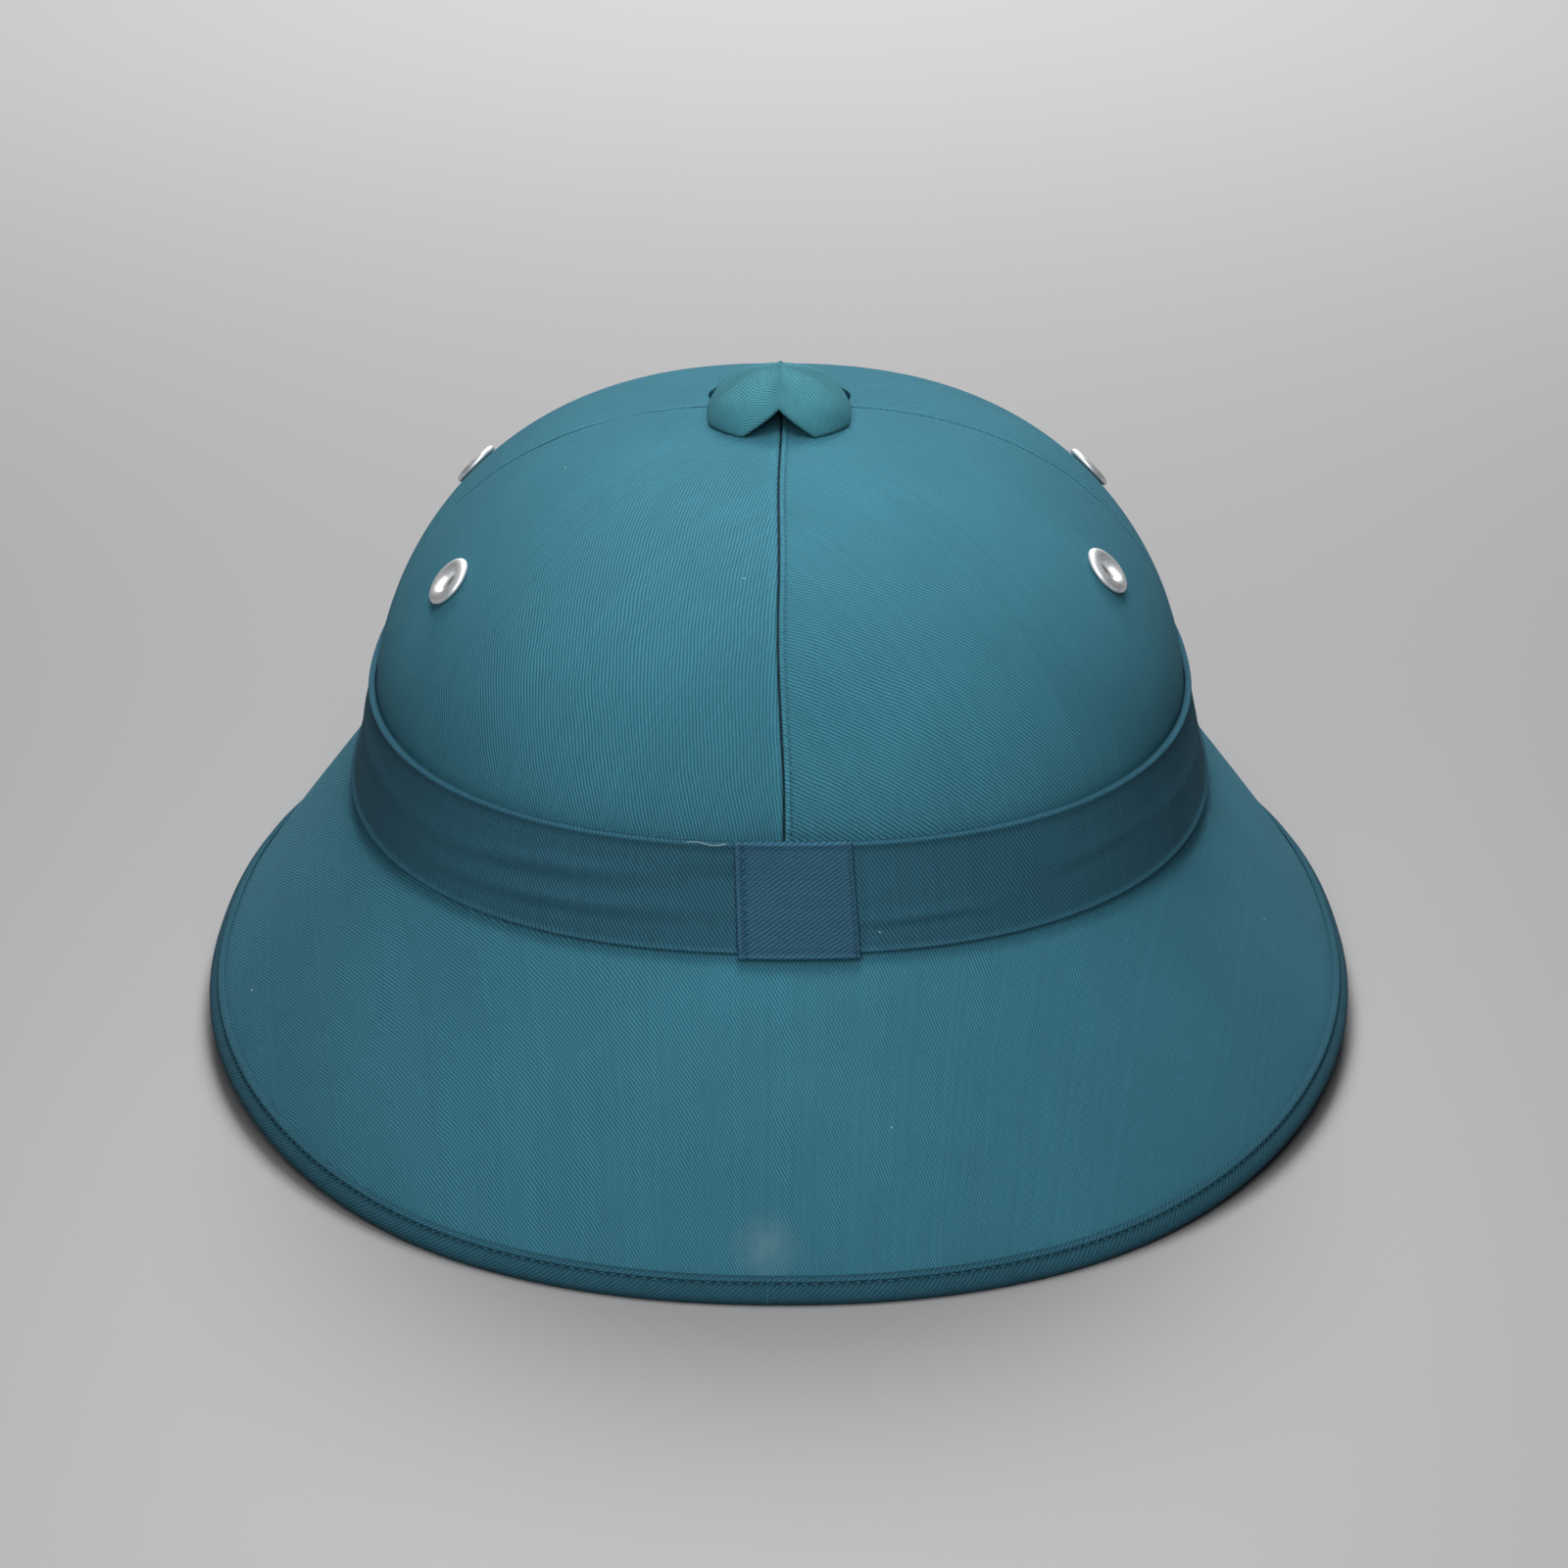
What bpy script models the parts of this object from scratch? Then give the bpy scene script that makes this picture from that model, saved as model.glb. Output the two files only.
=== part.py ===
"""A soldier's sun helmet: a moulded body, sewn into cloth.

Units are metres, +Z is up, -Y is the front and +X the wearer's left. The origin is on the
surface that the helmet rests on, in the middle of its brim.

Every layer follows one surface, the cloth's outer face. A station names a place along its
section: 0 is the brim's edge, 1 the crown's foot, 2 the band's upper edge and 3 the apex. An
azimuth goes round the helmet: 0 is the wearer's left and a quarter turn is the back. A lift is a
distance along the surface's normal, outwards when it is positive.
"""

from functools import partial
from math import cos, pi, radians, sin

import bpy
import bmesh
from mathutils import Matrix, Vector

# The helmet's outline: the brim in plan, the crown's foot in plan, and the heights
BRIM_WIDTH = 0.272
BRIM_LENGTH = 0.332
BRIM_SQUARENESS = 2.2
FOOT_WIDTH = 0.198
FOOT_LENGTH = 0.232
FOOT_SQUARENESS = 2.3
FOOT_HEIGHT = 0.054
BAND_HEIGHT = 0.0236
DOME_HEIGHT = 0.0599

# How the section runs between them
WALL_TAPER = 0.052
DOME_SIDE_ROUND = 2.63
DOME_TOP_ROUND = 1.585
BRIM_START_HANDLE = 0.40
BRIM_START_STEEPNESS = 0.98
BRIM_END_HANDLE = 0.30
BRIM_END_STEEPNESS = 1.08

# The brim's edge lies flat on the ground at the front and the back, and rises at the sides
SIDE_RISE = 0.0053
FLAT_ARC = radians(24)

# Layers
CLOTH = 0.001
BODY = 0.002
GAP = 0.0003
SEAM_GAP = 0.0003

# The edge binding
BINDING_DEPTH = 0.0064
BINDING_UNDER_DEPTH = 0.0056
BINDING_FACE_OUT = 0.0007

# The ventilation: a hole under the cap, and an eyelet at each quarter of the crown
VENT_STATION = 2.982
CAP_RADIUS = 0.0187
CAP_HEIGHT = 0.0110
CAP_BACK = 0.0045
CAP_ROUND = 2.4
CAP_WALL = 0.0012
NOTCH_HALF_ANGLE = radians(27)
NOTCH_DEPTH = 0.35
EYELET_PLACES = {
    # quarter of the crown: (azimuth from the nearer side seam, station)
    "back_left": (radians(27.0), 2.415),
    "back_right": (radians(24.8), 2.437),
    "front_right": (radians(24.0), 2.42),
    "front_left": (radians(24.0), 2.42),
}
EYELET_RADIUS = 0.0057
EYELET_BORE = 0.0024
EYELET_BARREL = 0.0032
EYELET_FLANGE = 0.0010

# The patch over the band's join
TAB_WIDTH = 0.0255
TAB_SHIFT = -0.0034

# Facets
COLUMNS = 64
BRIM_STATIONS = (0.25, 0.5, 0.75)
DOME_STATIONS = (2.1, 2.22, 2.35, 2.48, 2.61, 2.74, 2.87)
CAP_COLUMNS = 40
TAB_COLUMNS = 6
EYELET_SIDES = 12

# Colours, with roughness and metallic
TWILL = (0.030, 0.175, 0.215)
BAND_TWILL = (0.024, 0.135, 0.180)
PRESSED_PULP = (0.46, 0.41, 0.32)
ALUMINIUM = (0.80, 0.81, 0.82)


def material(name, colour, roughness, metallic=0.0):
    """A plain finish of one colour."""
    made = bpy.data.materials.new(name)
    made.use_nodes = True
    shader = made.node_tree.nodes["Principled BSDF"]
    shader.inputs["Base Color"].default_value = (*colour, 1)
    shader.inputs["Roughness"].default_value = roughness
    shader.inputs["Metallic"].default_value = metallic
    made.diffuse_color = (*colour, 1)
    return made


def outline(width, length, squareness, azimuth):
    """A point of a squarish ellipse, seen in plan."""
    c, s = cos(azimuth), sin(azimuth)
    reach = (abs(c) ** squareness + abs(s) ** squareness) ** (-1 / squareness)
    return Vector((width / 2 * reach * c, length / 2 * reach * s, 0))


def foot_outline(azimuth):
    return outline(FOOT_WIDTH, FOOT_LENGTH, FOOT_SQUARENESS, azimuth)


def edge_outline(azimuth):
    """The cloth ends a little inside the binding, which makes the full size."""
    width = BRIM_WIDTH - 2 * BINDING_FACE_OUT
    length = BRIM_LENGTH - 2 * BINDING_FACE_OUT
    return outline(width, length, BRIM_SQUARENESS, azimuth)


def edge_height(azimuth):
    """Nothing in the flat arcs at the front and back, then a smooth rise to the sides."""
    start = sin(FLAT_ARC) ** 2
    share = (cos(azimuth) ** 2 - start) / (1 - start)
    share = min(max(share, 0.0), 1.0)
    return SIDE_RISE * share * share * (3 - 2 * share)


def brim_section(share):
    """Shares of the way out and of the way down, on a curve with a handle at each end."""
    start_down = BRIM_START_HANDLE * BRIM_START_STEEPNESS
    end_out = 1 - BRIM_END_HANDLE
    end_down = 1 - BRIM_END_HANDLE * BRIM_END_STEEPNESS
    early = 3 * (1 - share) ** 2 * share
    late = 3 * (1 - share) * share**2
    out = early * BRIM_START_HANDLE + late * end_out + share**3
    down = early * start_down + late * end_down + share**3
    return out, down


def brim_point(station, azimuth):
    out, down = brim_section(1 - station)
    point = foot_outline(azimuth).lerp(edge_outline(azimuth), out)
    point.z = FOOT_HEIGHT + (edge_height(azimuth) - FOOT_HEIGHT) * down
    return point


def wall_point(station, azimuth):
    share = station - 1
    point = foot_outline(azimuth) * (1 - WALL_TAPER * share)
    point.z = FOOT_HEIGHT + BAND_HEIGHT * share
    return point


def dome_point(station, azimuth):
    turn = (station - 2) * pi / 2
    point = foot_outline(azimuth) * (1 - WALL_TAPER) * cos(turn) ** (2 / DOME_SIDE_ROUND)
    point.z = FOOT_HEIGHT + BAND_HEIGHT + DOME_HEIGHT * sin(turn) ** (2 / DOME_TOP_ROUND)
    return point


ZONES = {0: brim_point, 1: wall_point, 2: dome_point}


def normal_of(zone, station, azimuth):
    """The outward normal, from two short steps over the surface that stay inside the zone."""
    step = 1e-3
    low = min(max(station - step, zone), zone + 1 - 2 * step)
    up = ZONES[zone](low + 2 * step, azimuth) - ZONES[zone](low, azimuth)
    place = low + step
    round_ = ZONES[zone](place, azimuth + step) - ZONES[zone](place, azimuth - step)
    return round_.cross(up).normalized()


def skin(station, azimuth, lift=0.0):
    """A point over the cloth's outer face. Where two zones meet, the lift is mitred."""
    if station in (1, 2):
        lower = normal_of(station - 1, station, azimuth)
        upper = normal_of(station, station, azimuth)
        direction = (lower + upper) / (1 + lower.dot(upper))
        return ZONES[station](station, azimuth) + direction * lift
    zone = int(station)
    return ZONES[zone](station, azimuth) + normal_of(zone, station, azimuth) * lift


def hem(azimuth, lift, height, inset=0.0):
    """A point over the brim's straight last stretch, at a height above the edge's lowest line,
    and an inset further up along the section."""
    start = skin(0, azimuth, lift)
    along = (skin(0.05, azimuth, lift) - start).normalized()
    rise = edge_height(azimuth) + height - start.z
    return start + along * (rise / along.z + inset)


def lofted(name, rings, finish, closed=True):
    """A solid through rings of points, all with the same number. The last ring joins the first,
    or else both ends are capped."""
    shape = bmesh.new()
    rows = [[shape.verts.new(point) for point in ring] for ring in rings]
    pairs = list(zip(rows, rows[1:]))
    if closed:
        pairs.append((rows[-1], rows[0]))
    for near, far in pairs:
        count = len(near)
        for i in range(count):
            j = (i + 1) % count
            shape.faces.new((near[i], near[j], far[j], far[i]))
    if not closed:
        shape.faces.new(rows[0])
        shape.faces.new(reversed(rows[-1]))
    return solid(name, shape, finish)


def solid(name, shape, finish):
    bmesh.ops.recalc_face_normals(shape, faces=shape.faces)
    mesh = bpy.data.meshes.new(name)
    shape.to_mesh(mesh)
    shape.free()
    mesh.shade_smooth()
    mesh.set_sharp_from_angle(angle=radians(40))
    made = bpy.data.objects.new(name, mesh)
    bpy.context.scene.collection.objects.link(made)
    mesh.materials.append(finish)
    return made


def azimuths(count=COLUMNS):
    return [2 * pi * i / count for i in range(count)]


def body_section(azimuth):
    """Up the outside from the edge to the vent, and down the inside again."""
    stations = [*BRIM_STATIONS, 1, 2, *DOME_STATIONS, VENT_STATION]
    outer = -CLOTH - GAP
    inner = outer - BODY
    points = [hem(azimuth, outer, CLOTH + GAP)]
    points += [skin(station, azimuth, outer) for station in stations]
    points += [skin(station, azimuth, inner) for station in reversed(stations)]
    points.append(hem(azimuth, inner, CLOTH + GAP))
    return points


def make_body(finish):
    return lofted("shell", [body_section(azimuth) for azimuth in azimuths()], finish)


def panel_section(azimuth):
    """The panel's lower edge is tucked behind the band, just over the brim."""
    stations = [1.03, 2, *DOME_STATIONS, VENT_STATION]
    points = [skin(station, azimuth) for station in stations]
    return points + [skin(station, azimuth, -CLOTH) for station in reversed(stations)]


def make_panel(name, first_azimuth, finish):
    """A quarter of the crown's cloth, which stops just short of its two seams."""
    quarter = COLUMNS // 4
    turns = [first_azimuth + pi / 2 * i / quarter for i in range(quarter + 1)]
    side_x = cos(first_azimuth + pi / 4)
    side_y = sin(first_azimuth + pi / 4)
    rings = [panel_section(turn) for turn in turns]
    for ring in rings:
        for point in ring:
            point.x = max(abs(point.x), SEAM_GAP / 2) * (1 if side_x > 0 else -1)
            point.y = max(abs(point.y), SEAM_GAP / 2) * (1 if side_y > 0 else -1)
    return lofted(name, rings, finish, closed=False)


def cover_section(azimuth):
    """From the hem under the binding to the crown's foot, where it meets the wall."""
    stations = [*BRIM_STATIONS, 0.99]
    height = CLOTH + GAP
    points = [hem(azimuth, 0, height)]
    points += [skin(station, azimuth) for station in stations]
    points += [skin(station, azimuth, -CLOTH) for station in reversed(stations)]
    points.append(hem(azimuth, -CLOTH, height))
    return points


def make_cover(finish):
    return lofted("brim_cover", [cover_section(azimuth) for azimuth in azimuths()], finish)


def binding_section(azimuth):
    """A strip folded round the edge: its outer face over the top, under the edge and up the
    underside, then back along the inner face. Its foot is flat, where the helmet rests."""
    over = GAP + CLOTH
    under = -CLOTH - GAP - BODY - GAP
    return [
        hem(azimuth, over, 0, BINDING_DEPTH),
        hem(azimuth, over, 0, BINDING_DEPTH / 2),
        hem(azimuth, over, 0.0011),
        hem(azimuth, GAP, 0),
        hem(azimuth, under, 0),
        hem(azimuth, under - CLOTH, 0.0007),
        hem(azimuth, under - CLOTH, 0, BINDING_UNDER_DEPTH),
        hem(azimuth, under, 0, BINDING_UNDER_DEPTH),
        hem(azimuth, under, CLOTH),
        hem(azimuth, GAP, CLOTH),
        hem(azimuth, GAP, 0, BINDING_DEPTH / 2),
        hem(azimuth, GAP, 0, BINDING_DEPTH),
    ]


def make_binding(finish):
    rings = [binding_section(azimuth) for azimuth in azimuths()]
    return lofted("edge_binding", rings, finish)


def wall_strip(azimuth, inner, low, high):
    """A strip of cloth round the wall, between two stations."""
    corners = ((low, inner + CLOTH), (high, inner + CLOTH), (high, inner), (low, inner))
    return [skin(station, azimuth, lift) for station, lift in corners]


def make_band(finish):
    section = partial(wall_strip, inner=GAP, low=1.02, high=1.995)
    return lofted("hat_band", [section(azimuth) for azimuth in azimuths()], finish)


def make_tab(finish):
    """At the back of the crown's foot the wall is nearly flat, so widths along X become angles."""
    middle = pi / 2 - TAB_SHIFT / (FOOT_WIDTH / 2)
    half = TAB_WIDTH / FOOT_WIDTH
    rings = []
    for i in range(TAB_COLUMNS + 1):
        azimuth = middle + half * (2 * i / TAB_COLUMNS - 1)
        rings.append(wall_strip(azimuth, 2 * GAP + CLOTH, 1.01, 1.999))
    return lofted("band_tab", rings, finish, closed=False)


def cap_point(share, azimuth, wall):
    """A place on the cap's dome: share 0 is its top, 1 its rim. The rim is cut up into an arch
    over each seam of the crown."""
    quarter = pi / 2
    off_seam = abs((azimuth + quarter / 2) % quarter - quarter / 2)
    arch = max(0.0, 1 - off_seam / NOTCH_HALF_ANGLE)
    turn = share * (1 - NOTCH_DEPTH * arch**0.85) * quarter
    out = (CAP_RADIUS - wall) * sin(turn) ** (2 / CAP_ROUND)
    up = (CAP_HEIGHT - wall) * cos(turn) ** (2 / CAP_ROUND)
    apex = FOOT_HEIGHT + BAND_HEIGHT + DOME_HEIGHT
    return Vector((out * cos(azimuth), CAP_BACK + out * sin(azimuth), apex + up))


def make_cap(finish):
    """A hollow dome that stands on its four lobes, a little behind the apex."""
    shares = (0.18, 0.4, 0.62, 0.82, 1)
    places = [(share, 0) for share in shares]
    places += [(share, CAP_WALL) for share in reversed(shares)]
    shape = bmesh.new()
    rows = []
    for share, wall in places:
        loop = [cap_point(share, turn, wall) for turn in azimuths(CAP_COLUMNS)]
        rows.append([shape.verts.new(point) for point in loop])
    for near, far in zip(rows, rows[1:]):
        for i in range(CAP_COLUMNS):
            j = (i + 1) % CAP_COLUMNS
            shape.faces.new((near[i], near[j], far[j], far[i]))
    for row, wall in ((rows[0], 0), (rows[-1], CAP_WALL)):
        top = shape.verts.new(cap_point(0, 0, wall))
        for i in range(CAP_COLUMNS):
            shape.faces.new((top, row[i], row[(i + 1) % CAP_COLUMNS]))
    return solid("ventilator_cap", shape, finish)


def eyelet_frame(azimuth, station):
    """A frame on the crown with its Z outwards along the normal."""
    place = skin(station, azimuth)
    outward = (skin(station, azimuth, 0.01) - place).normalized()
    return Matrix.Translation(place) @ outward.to_track_quat("Z", "Y").to_matrix().to_4x4()


def make_eyelet(name, frame, finish):
    """A turned ring: a rounded flange on the cloth, and a barrel down through the layers."""
    barrel_end = -CLOTH - GAP - BODY - 0.0008
    crest = (EYELET_RADIUS + EYELET_BORE) / 2
    section = (
        (EYELET_BORE, barrel_end),
        (EYELET_BARREL, barrel_end),
        (EYELET_BARREL, GAP),
        (EYELET_RADIUS, GAP),
        (EYELET_RADIUS - 0.0005, GAP + 0.7 * EYELET_FLANGE),
        (crest, GAP + EYELET_FLANGE),
        (EYELET_BORE + 0.0004, GAP + 0.6 * EYELET_FLANGE),
        (EYELET_BORE, GAP),
    )
    rings = []
    for turn in azimuths(EYELET_SIDES):
        ring = [Vector((out * cos(turn), out * sin(turn), up)) for out, up in section]
        rings.append([frame @ point for point in ring])
    return lofted(name, rings, finish)


def make_eyelet_drill(name, frame):
    """The cutter for an eyelet's hole, longer than the layers are thick."""
    shape = bmesh.new()
    bmesh.ops.create_cone(
        shape,
        cap_ends=True,
        segments=EYELET_SIDES,
        radius1=EYELET_BARREL + GAP,
        radius2=EYELET_BARREL + GAP,
        depth=0.02,
        matrix=frame,
    )
    mesh = bpy.data.meshes.new(name)
    shape.to_mesh(mesh)
    shape.free()
    drill = bpy.data.objects.new(name, mesh)
    bpy.context.scene.collection.objects.link(drill)
    drill.hide_render = True
    drill.display_type = "WIRE"
    return drill


def cut(piece, drill):
    modifier = piece.modifiers.new(drill.name, "BOOLEAN")
    modifier.operation = "DIFFERENCE"
    modifier.object = drill


def build():
    for old in list(bpy.data.objects):
        bpy.data.objects.remove(old)
    twill = material("crown_twill", TWILL, 0.85)
    brim_twill = material("brim_twill", TWILL, 0.85)
    band_twill = material("band_twill", BAND_TWILL, 0.85)
    pulp = material("pressed_pulp", PRESSED_PULP, 0.9)
    metal = material("eyelet_aluminium", ALUMINIUM, 0.35, 1.0)

    body = make_body(pulp)
    for i, (quarter, (off_side, station)) in enumerate(EYELET_PLACES.items()):
        panel = make_panel("crown_panel_" + quarter, i * pi / 2, twill)
        azimuth = i * pi / 2 + off_side if i % 2 == 0 else (i + 1) * pi / 2 - off_side
        frame = eyelet_frame(azimuth, station)
        drill = make_eyelet_drill("drill_" + quarter, frame)
        cut(panel, drill)
        cut(body, drill)
        make_eyelet("eyelet_" + quarter, frame, metal)
    make_cover(brim_twill)
    make_binding(brim_twill)
    make_band(band_twill)
    make_tab(band_twill)
    make_cap(twill)


build()
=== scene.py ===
# %% [markdown]
# # A sun helmet in teal twill
#
# The helmet is a hard moulded shell with cotton twill stretched over it: four gores on the crown, one
# ring on the brim, a bias strip that binds the brim's edge, and a folded band with a small patch over its
# join. A puffed cap covers the vent hole on top, and four aluminium eyelets let air in at the sides.
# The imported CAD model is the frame. Every piece below is made in the same place as its CAD solid.

from math import atan, cos, pi, radians, sin

import bmesh
import bpy
import numpy as np
from mathutils import Matrix, Vector


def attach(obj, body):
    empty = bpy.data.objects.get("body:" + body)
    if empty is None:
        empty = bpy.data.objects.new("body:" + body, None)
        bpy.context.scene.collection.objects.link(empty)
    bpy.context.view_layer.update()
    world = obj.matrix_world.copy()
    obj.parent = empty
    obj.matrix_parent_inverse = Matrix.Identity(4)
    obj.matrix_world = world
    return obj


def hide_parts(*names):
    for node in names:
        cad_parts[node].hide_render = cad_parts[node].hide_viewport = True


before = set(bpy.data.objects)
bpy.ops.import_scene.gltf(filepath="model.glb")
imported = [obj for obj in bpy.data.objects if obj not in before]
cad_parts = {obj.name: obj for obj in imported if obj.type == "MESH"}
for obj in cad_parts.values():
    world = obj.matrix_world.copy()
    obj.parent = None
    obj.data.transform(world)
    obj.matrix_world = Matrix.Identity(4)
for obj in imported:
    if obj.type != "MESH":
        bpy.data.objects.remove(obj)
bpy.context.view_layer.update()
MM = 0.001

# %% [markdown]
# ## The form under the cloth
#
# The whole helmet follows one surface. A point on it is named by its station and its azimuth: station 0
# is the brim's edge, 1 the crown's foot, 2 the band's upper edge and 3 the apex. Azimuth 0 is the
# wearer's left side and a quarter turn is the back. The sizes come from the frame's boxes, and the shape
# numbers are the ones that the CAD was drawn with. Numpy works out thousands of points in one call.

# %% Sizes and shape numbers of the form
CLOTH = 1.0 * MM
GAP = 0.3 * MM

BRIM_WIDTH, BRIM_LENGTH, BRIM_SQUARENESS = 272.0 * MM, 332.0 * MM, 2.2
FOOT_WIDTH, FOOT_LENGTH, FOOT_SQUARENESS = 198.0 * MM, 232.0 * MM, 2.3
FOOT_HEIGHT, BAND_HEIGHT, DOME_HEIGHT = 54.0 * MM, 23.6 * MM, 59.9 * MM
WALL_TAPER = 0.052
DOME_SIDE_ROUND, DOME_TOP_ROUND = 2.63, 1.585
BRIM_START_HANDLE, BRIM_START_STEEPNESS = 0.40, 0.98
BRIM_END_HANDLE, BRIM_END_STEEPNESS = 0.30, 1.08
SIDE_RISE, FLAT_ARC = 5.3 * MM, radians(24)
BINDING_FACE_OUT = 0.7 * MM
STEP = 1e-3
QUARTER = pi / 2

# %% Points on the form
def points(x, y, z):
    """Stacks three coordinates, which may be numbers or arrays, into points."""
    return np.stack(np.broadcast_arrays(x, y, z), axis=-1).astype(float)


def outline(width, length, squareness, azimuth):
    """A rounded oblong seen from above, a little squarer than an ellipse."""
    c, s = np.cos(azimuth), np.sin(azimuth)
    reach = (abs(c) ** squareness + abs(s) ** squareness) ** (-1 / squareness)
    return points(width / 2 * reach * c, length / 2 * reach * s, 0)


def edge_height(azimuth):
    """The brim's edge touches the table in front and behind, and rises at the sides."""
    start = sin(FLAT_ARC) ** 2
    share = np.clip((np.cos(azimuth) ** 2 - start) / (1 - start), 0, 1)
    return SIDE_RISE * share * share * (3 - 2 * share)


def surface(station, azimuth, zone):
    """A point of the form, by the rule of zone 0 for the brim, 1 for the band's wall or 2 for the dome."""
    foot = outline(FOOT_WIDTH, FOOT_LENGTH, FOOT_SQUARENESS, azimuth)
    edge = outline(
        BRIM_WIDTH - 2 * BINDING_FACE_OUT, BRIM_LENGTH - 2 * BINDING_FACE_OUT, BRIM_SQUARENESS, azimuth
    )
    share = 1 - np.minimum(station, 1)
    early, late = 3 * (1 - share) ** 2 * share, 3 * (1 - share) * share**2
    out = early * BRIM_START_HANDLE + late * (1 - BRIM_END_HANDLE) + share**3
    down = early * BRIM_START_HANDLE * BRIM_START_STEEPNESS
    down = down + late * (1 - BRIM_END_HANDLE * BRIM_END_STEEPNESS) + share**3
    brim = foot + (edge - foot) * out[..., None]
    brim[..., 2] = FOOT_HEIGHT + (edge_height(azimuth) - FOOT_HEIGHT) * down
    climb = station - 1
    wall = foot * (1 - WALL_TAPER * climb)[..., None]
    wall[..., 2] = FOOT_HEIGHT + BAND_HEIGHT * climb
    turn = np.clip(station - 2, 0, 1) * QUARTER
    dome = foot * ((1 - WALL_TAPER) * np.maximum(np.cos(turn), 1e-9) ** (2 / DOME_SIDE_ROUND))[..., None]
    dome[..., 2] = FOOT_HEIGHT + BAND_HEIGHT + DOME_HEIGHT * np.sin(turn) ** (2 / DOME_TOP_ROUND)
    zone = zone[..., None]
    return np.where(zone == 0, brim, np.where(zone == 1, wall, dome))


def skin_frame(station, azimuth):
    """Points of the form with the directions round it, up it and out of it."""
    station, azimuth = np.broadcast_arrays(np.asarray(station, float), np.asarray(azimuth, float))
    zone = np.clip(np.floor(station), 0, 2)
    above = surface(np.minimum(station + STEP, zone + 1), azimuth, zone)
    below = surface(np.maximum(station - STEP, zone), azimuth, zone)
    ahead = surface(station, azimuth + STEP, zone)
    behind = surface(station, azimuth - STEP, zone)
    round_it = unit(ahead - behind)
    out = unit(np.cross(round_it, above - below))
    return surface(station, azimuth, zone), round_it, np.cross(out, round_it), out


def unit(vectors):
    """The same directions at length one."""
    return vectors / np.linalg.norm(vectors, axis=-1, keepdims=True)


def skin(station, azimuth, lift):
    """A point at a lift above the form, where 0 is the outer face of the stretched cloth."""
    place, _, _, out = skin_frame(station, azimuth)
    return place + out * np.asarray(lift, float)[..., None]


APEX = FOOT_HEIGHT + BAND_HEIGHT + DOME_HEIGHT

# %% [markdown]
# ## Distances round the helmet
#
# Stitches, seams and hems are measured in millimetres and not in degrees. One table holds how far it is
# round the crown's foot. Every level of the crown has the same outline at a smaller size, so the table
# serves them all.

# %% Arc length round the crown
TABLE_AZIMUTHS = np.linspace(0, 2 * pi, 3601)


def arc_table(width, length, squareness):
    """The distance round an outline at each azimuth of the table."""
    corners = outline(width, length, squareness, TABLE_AZIMUTHS)
    return np.concatenate([[0], np.cumsum(np.linalg.norm(np.diff(corners, axis=0), axis=1))])


FOOT_ARC = arc_table(FOOT_WIDTH, FOOT_LENGTH, FOOT_SQUARENESS)
BRIM_ARC = arc_table(BRIM_WIDTH, BRIM_LENGTH, BRIM_SQUARENESS)


def crown_scale(station):
    """How large the crown's outline is at a station, against its foot."""
    turn = np.clip(station - 2, 0, 1) * QUARTER
    dome = (1 - WALL_TAPER) * np.maximum(np.cos(turn), 1e-9) ** (2 / DOME_SIDE_ROUND)
    return np.where(station < 2, 1 - WALL_TAPER * (station - 1), dome)


def foot_azimuth(distance):
    """The azimuth at a distance round the crown's foot, which may be negative or over a full turn."""
    turns = np.floor(distance / FOOT_ARC[-1])
    return np.interp(distance - turns * FOOT_ARC[-1], FOOT_ARC, TABLE_AZIMUTHS) + 2 * pi * turns


print("round the foot", round(FOOT_ARC[-1] / MM), "mm, round the brim", round(BRIM_ARC[-1] / MM), "mm")

# %% [markdown]
# ## From a flat pattern to a curved piece
#
# A tailor cuts cloth flat and then bends it, and this script does the same. Blender's grid operator makes
# the flat pattern, and an extrusion gives it a wall. Then each vertex is moved to its place on the form
# by a rule for that piece. The flat position stays behind as a UV map in millimetres of cloth, so the
# weave keeps its real size and grain on every piece. A vertex attribute holds painted light: painted
# highlights on folds and ridges, and painted shade in seams, grooves and under edges. This way every wall
# is closed, and seams can be as fine as the columns of the grid.

# %% The pattern helper
def finish_piece(bm, name, replaced, material):
    """Turns a bmesh into a smooth piece that rides on the helmet."""
    mesh = bpy.data.meshes.new(name)
    bm.to_mesh(mesh)
    bm.free()
    mesh.shade_smooth()
    piece = bpy.data.objects.new(name, mesh)
    bpy.context.scene.collection.objects.link(piece)
    mesh.materials.append(material)
    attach(piece, "root")
    if replaced:
        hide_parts(*replaced)
    print(f"{name}: {sum(len(p.vertices) - 2 for p in mesh.polygons)} triangles")
    return piece


def pierce(bm, centre, axis, radius):
    """Cuts a round hole through a wall and closes its rim. The hole's edge is drawn to a true circle."""

    def off_axis(point):
        away = point - centre
        return away - axis * away.dot(axis)

    near = [face for face in bm.faces if (face.calc_center_median() - centre).length < 4 * radius]
    inside = [face for face in near if off_axis(face.calc_center_median()).length < radius]
    bmesh.ops.delete(bm, geom=inside, context="FACES")
    rim = [edge for edge in bm.edges if edge.is_boundary]
    for vertex in {vertex for edge in rim for vertex in edge.verts}:
        away = off_axis(vertex.co)
        vertex.co += away.normalized() * (radius - away.length)
    bmesh.ops.bridge_loops(bm, edges=rim)


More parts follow.
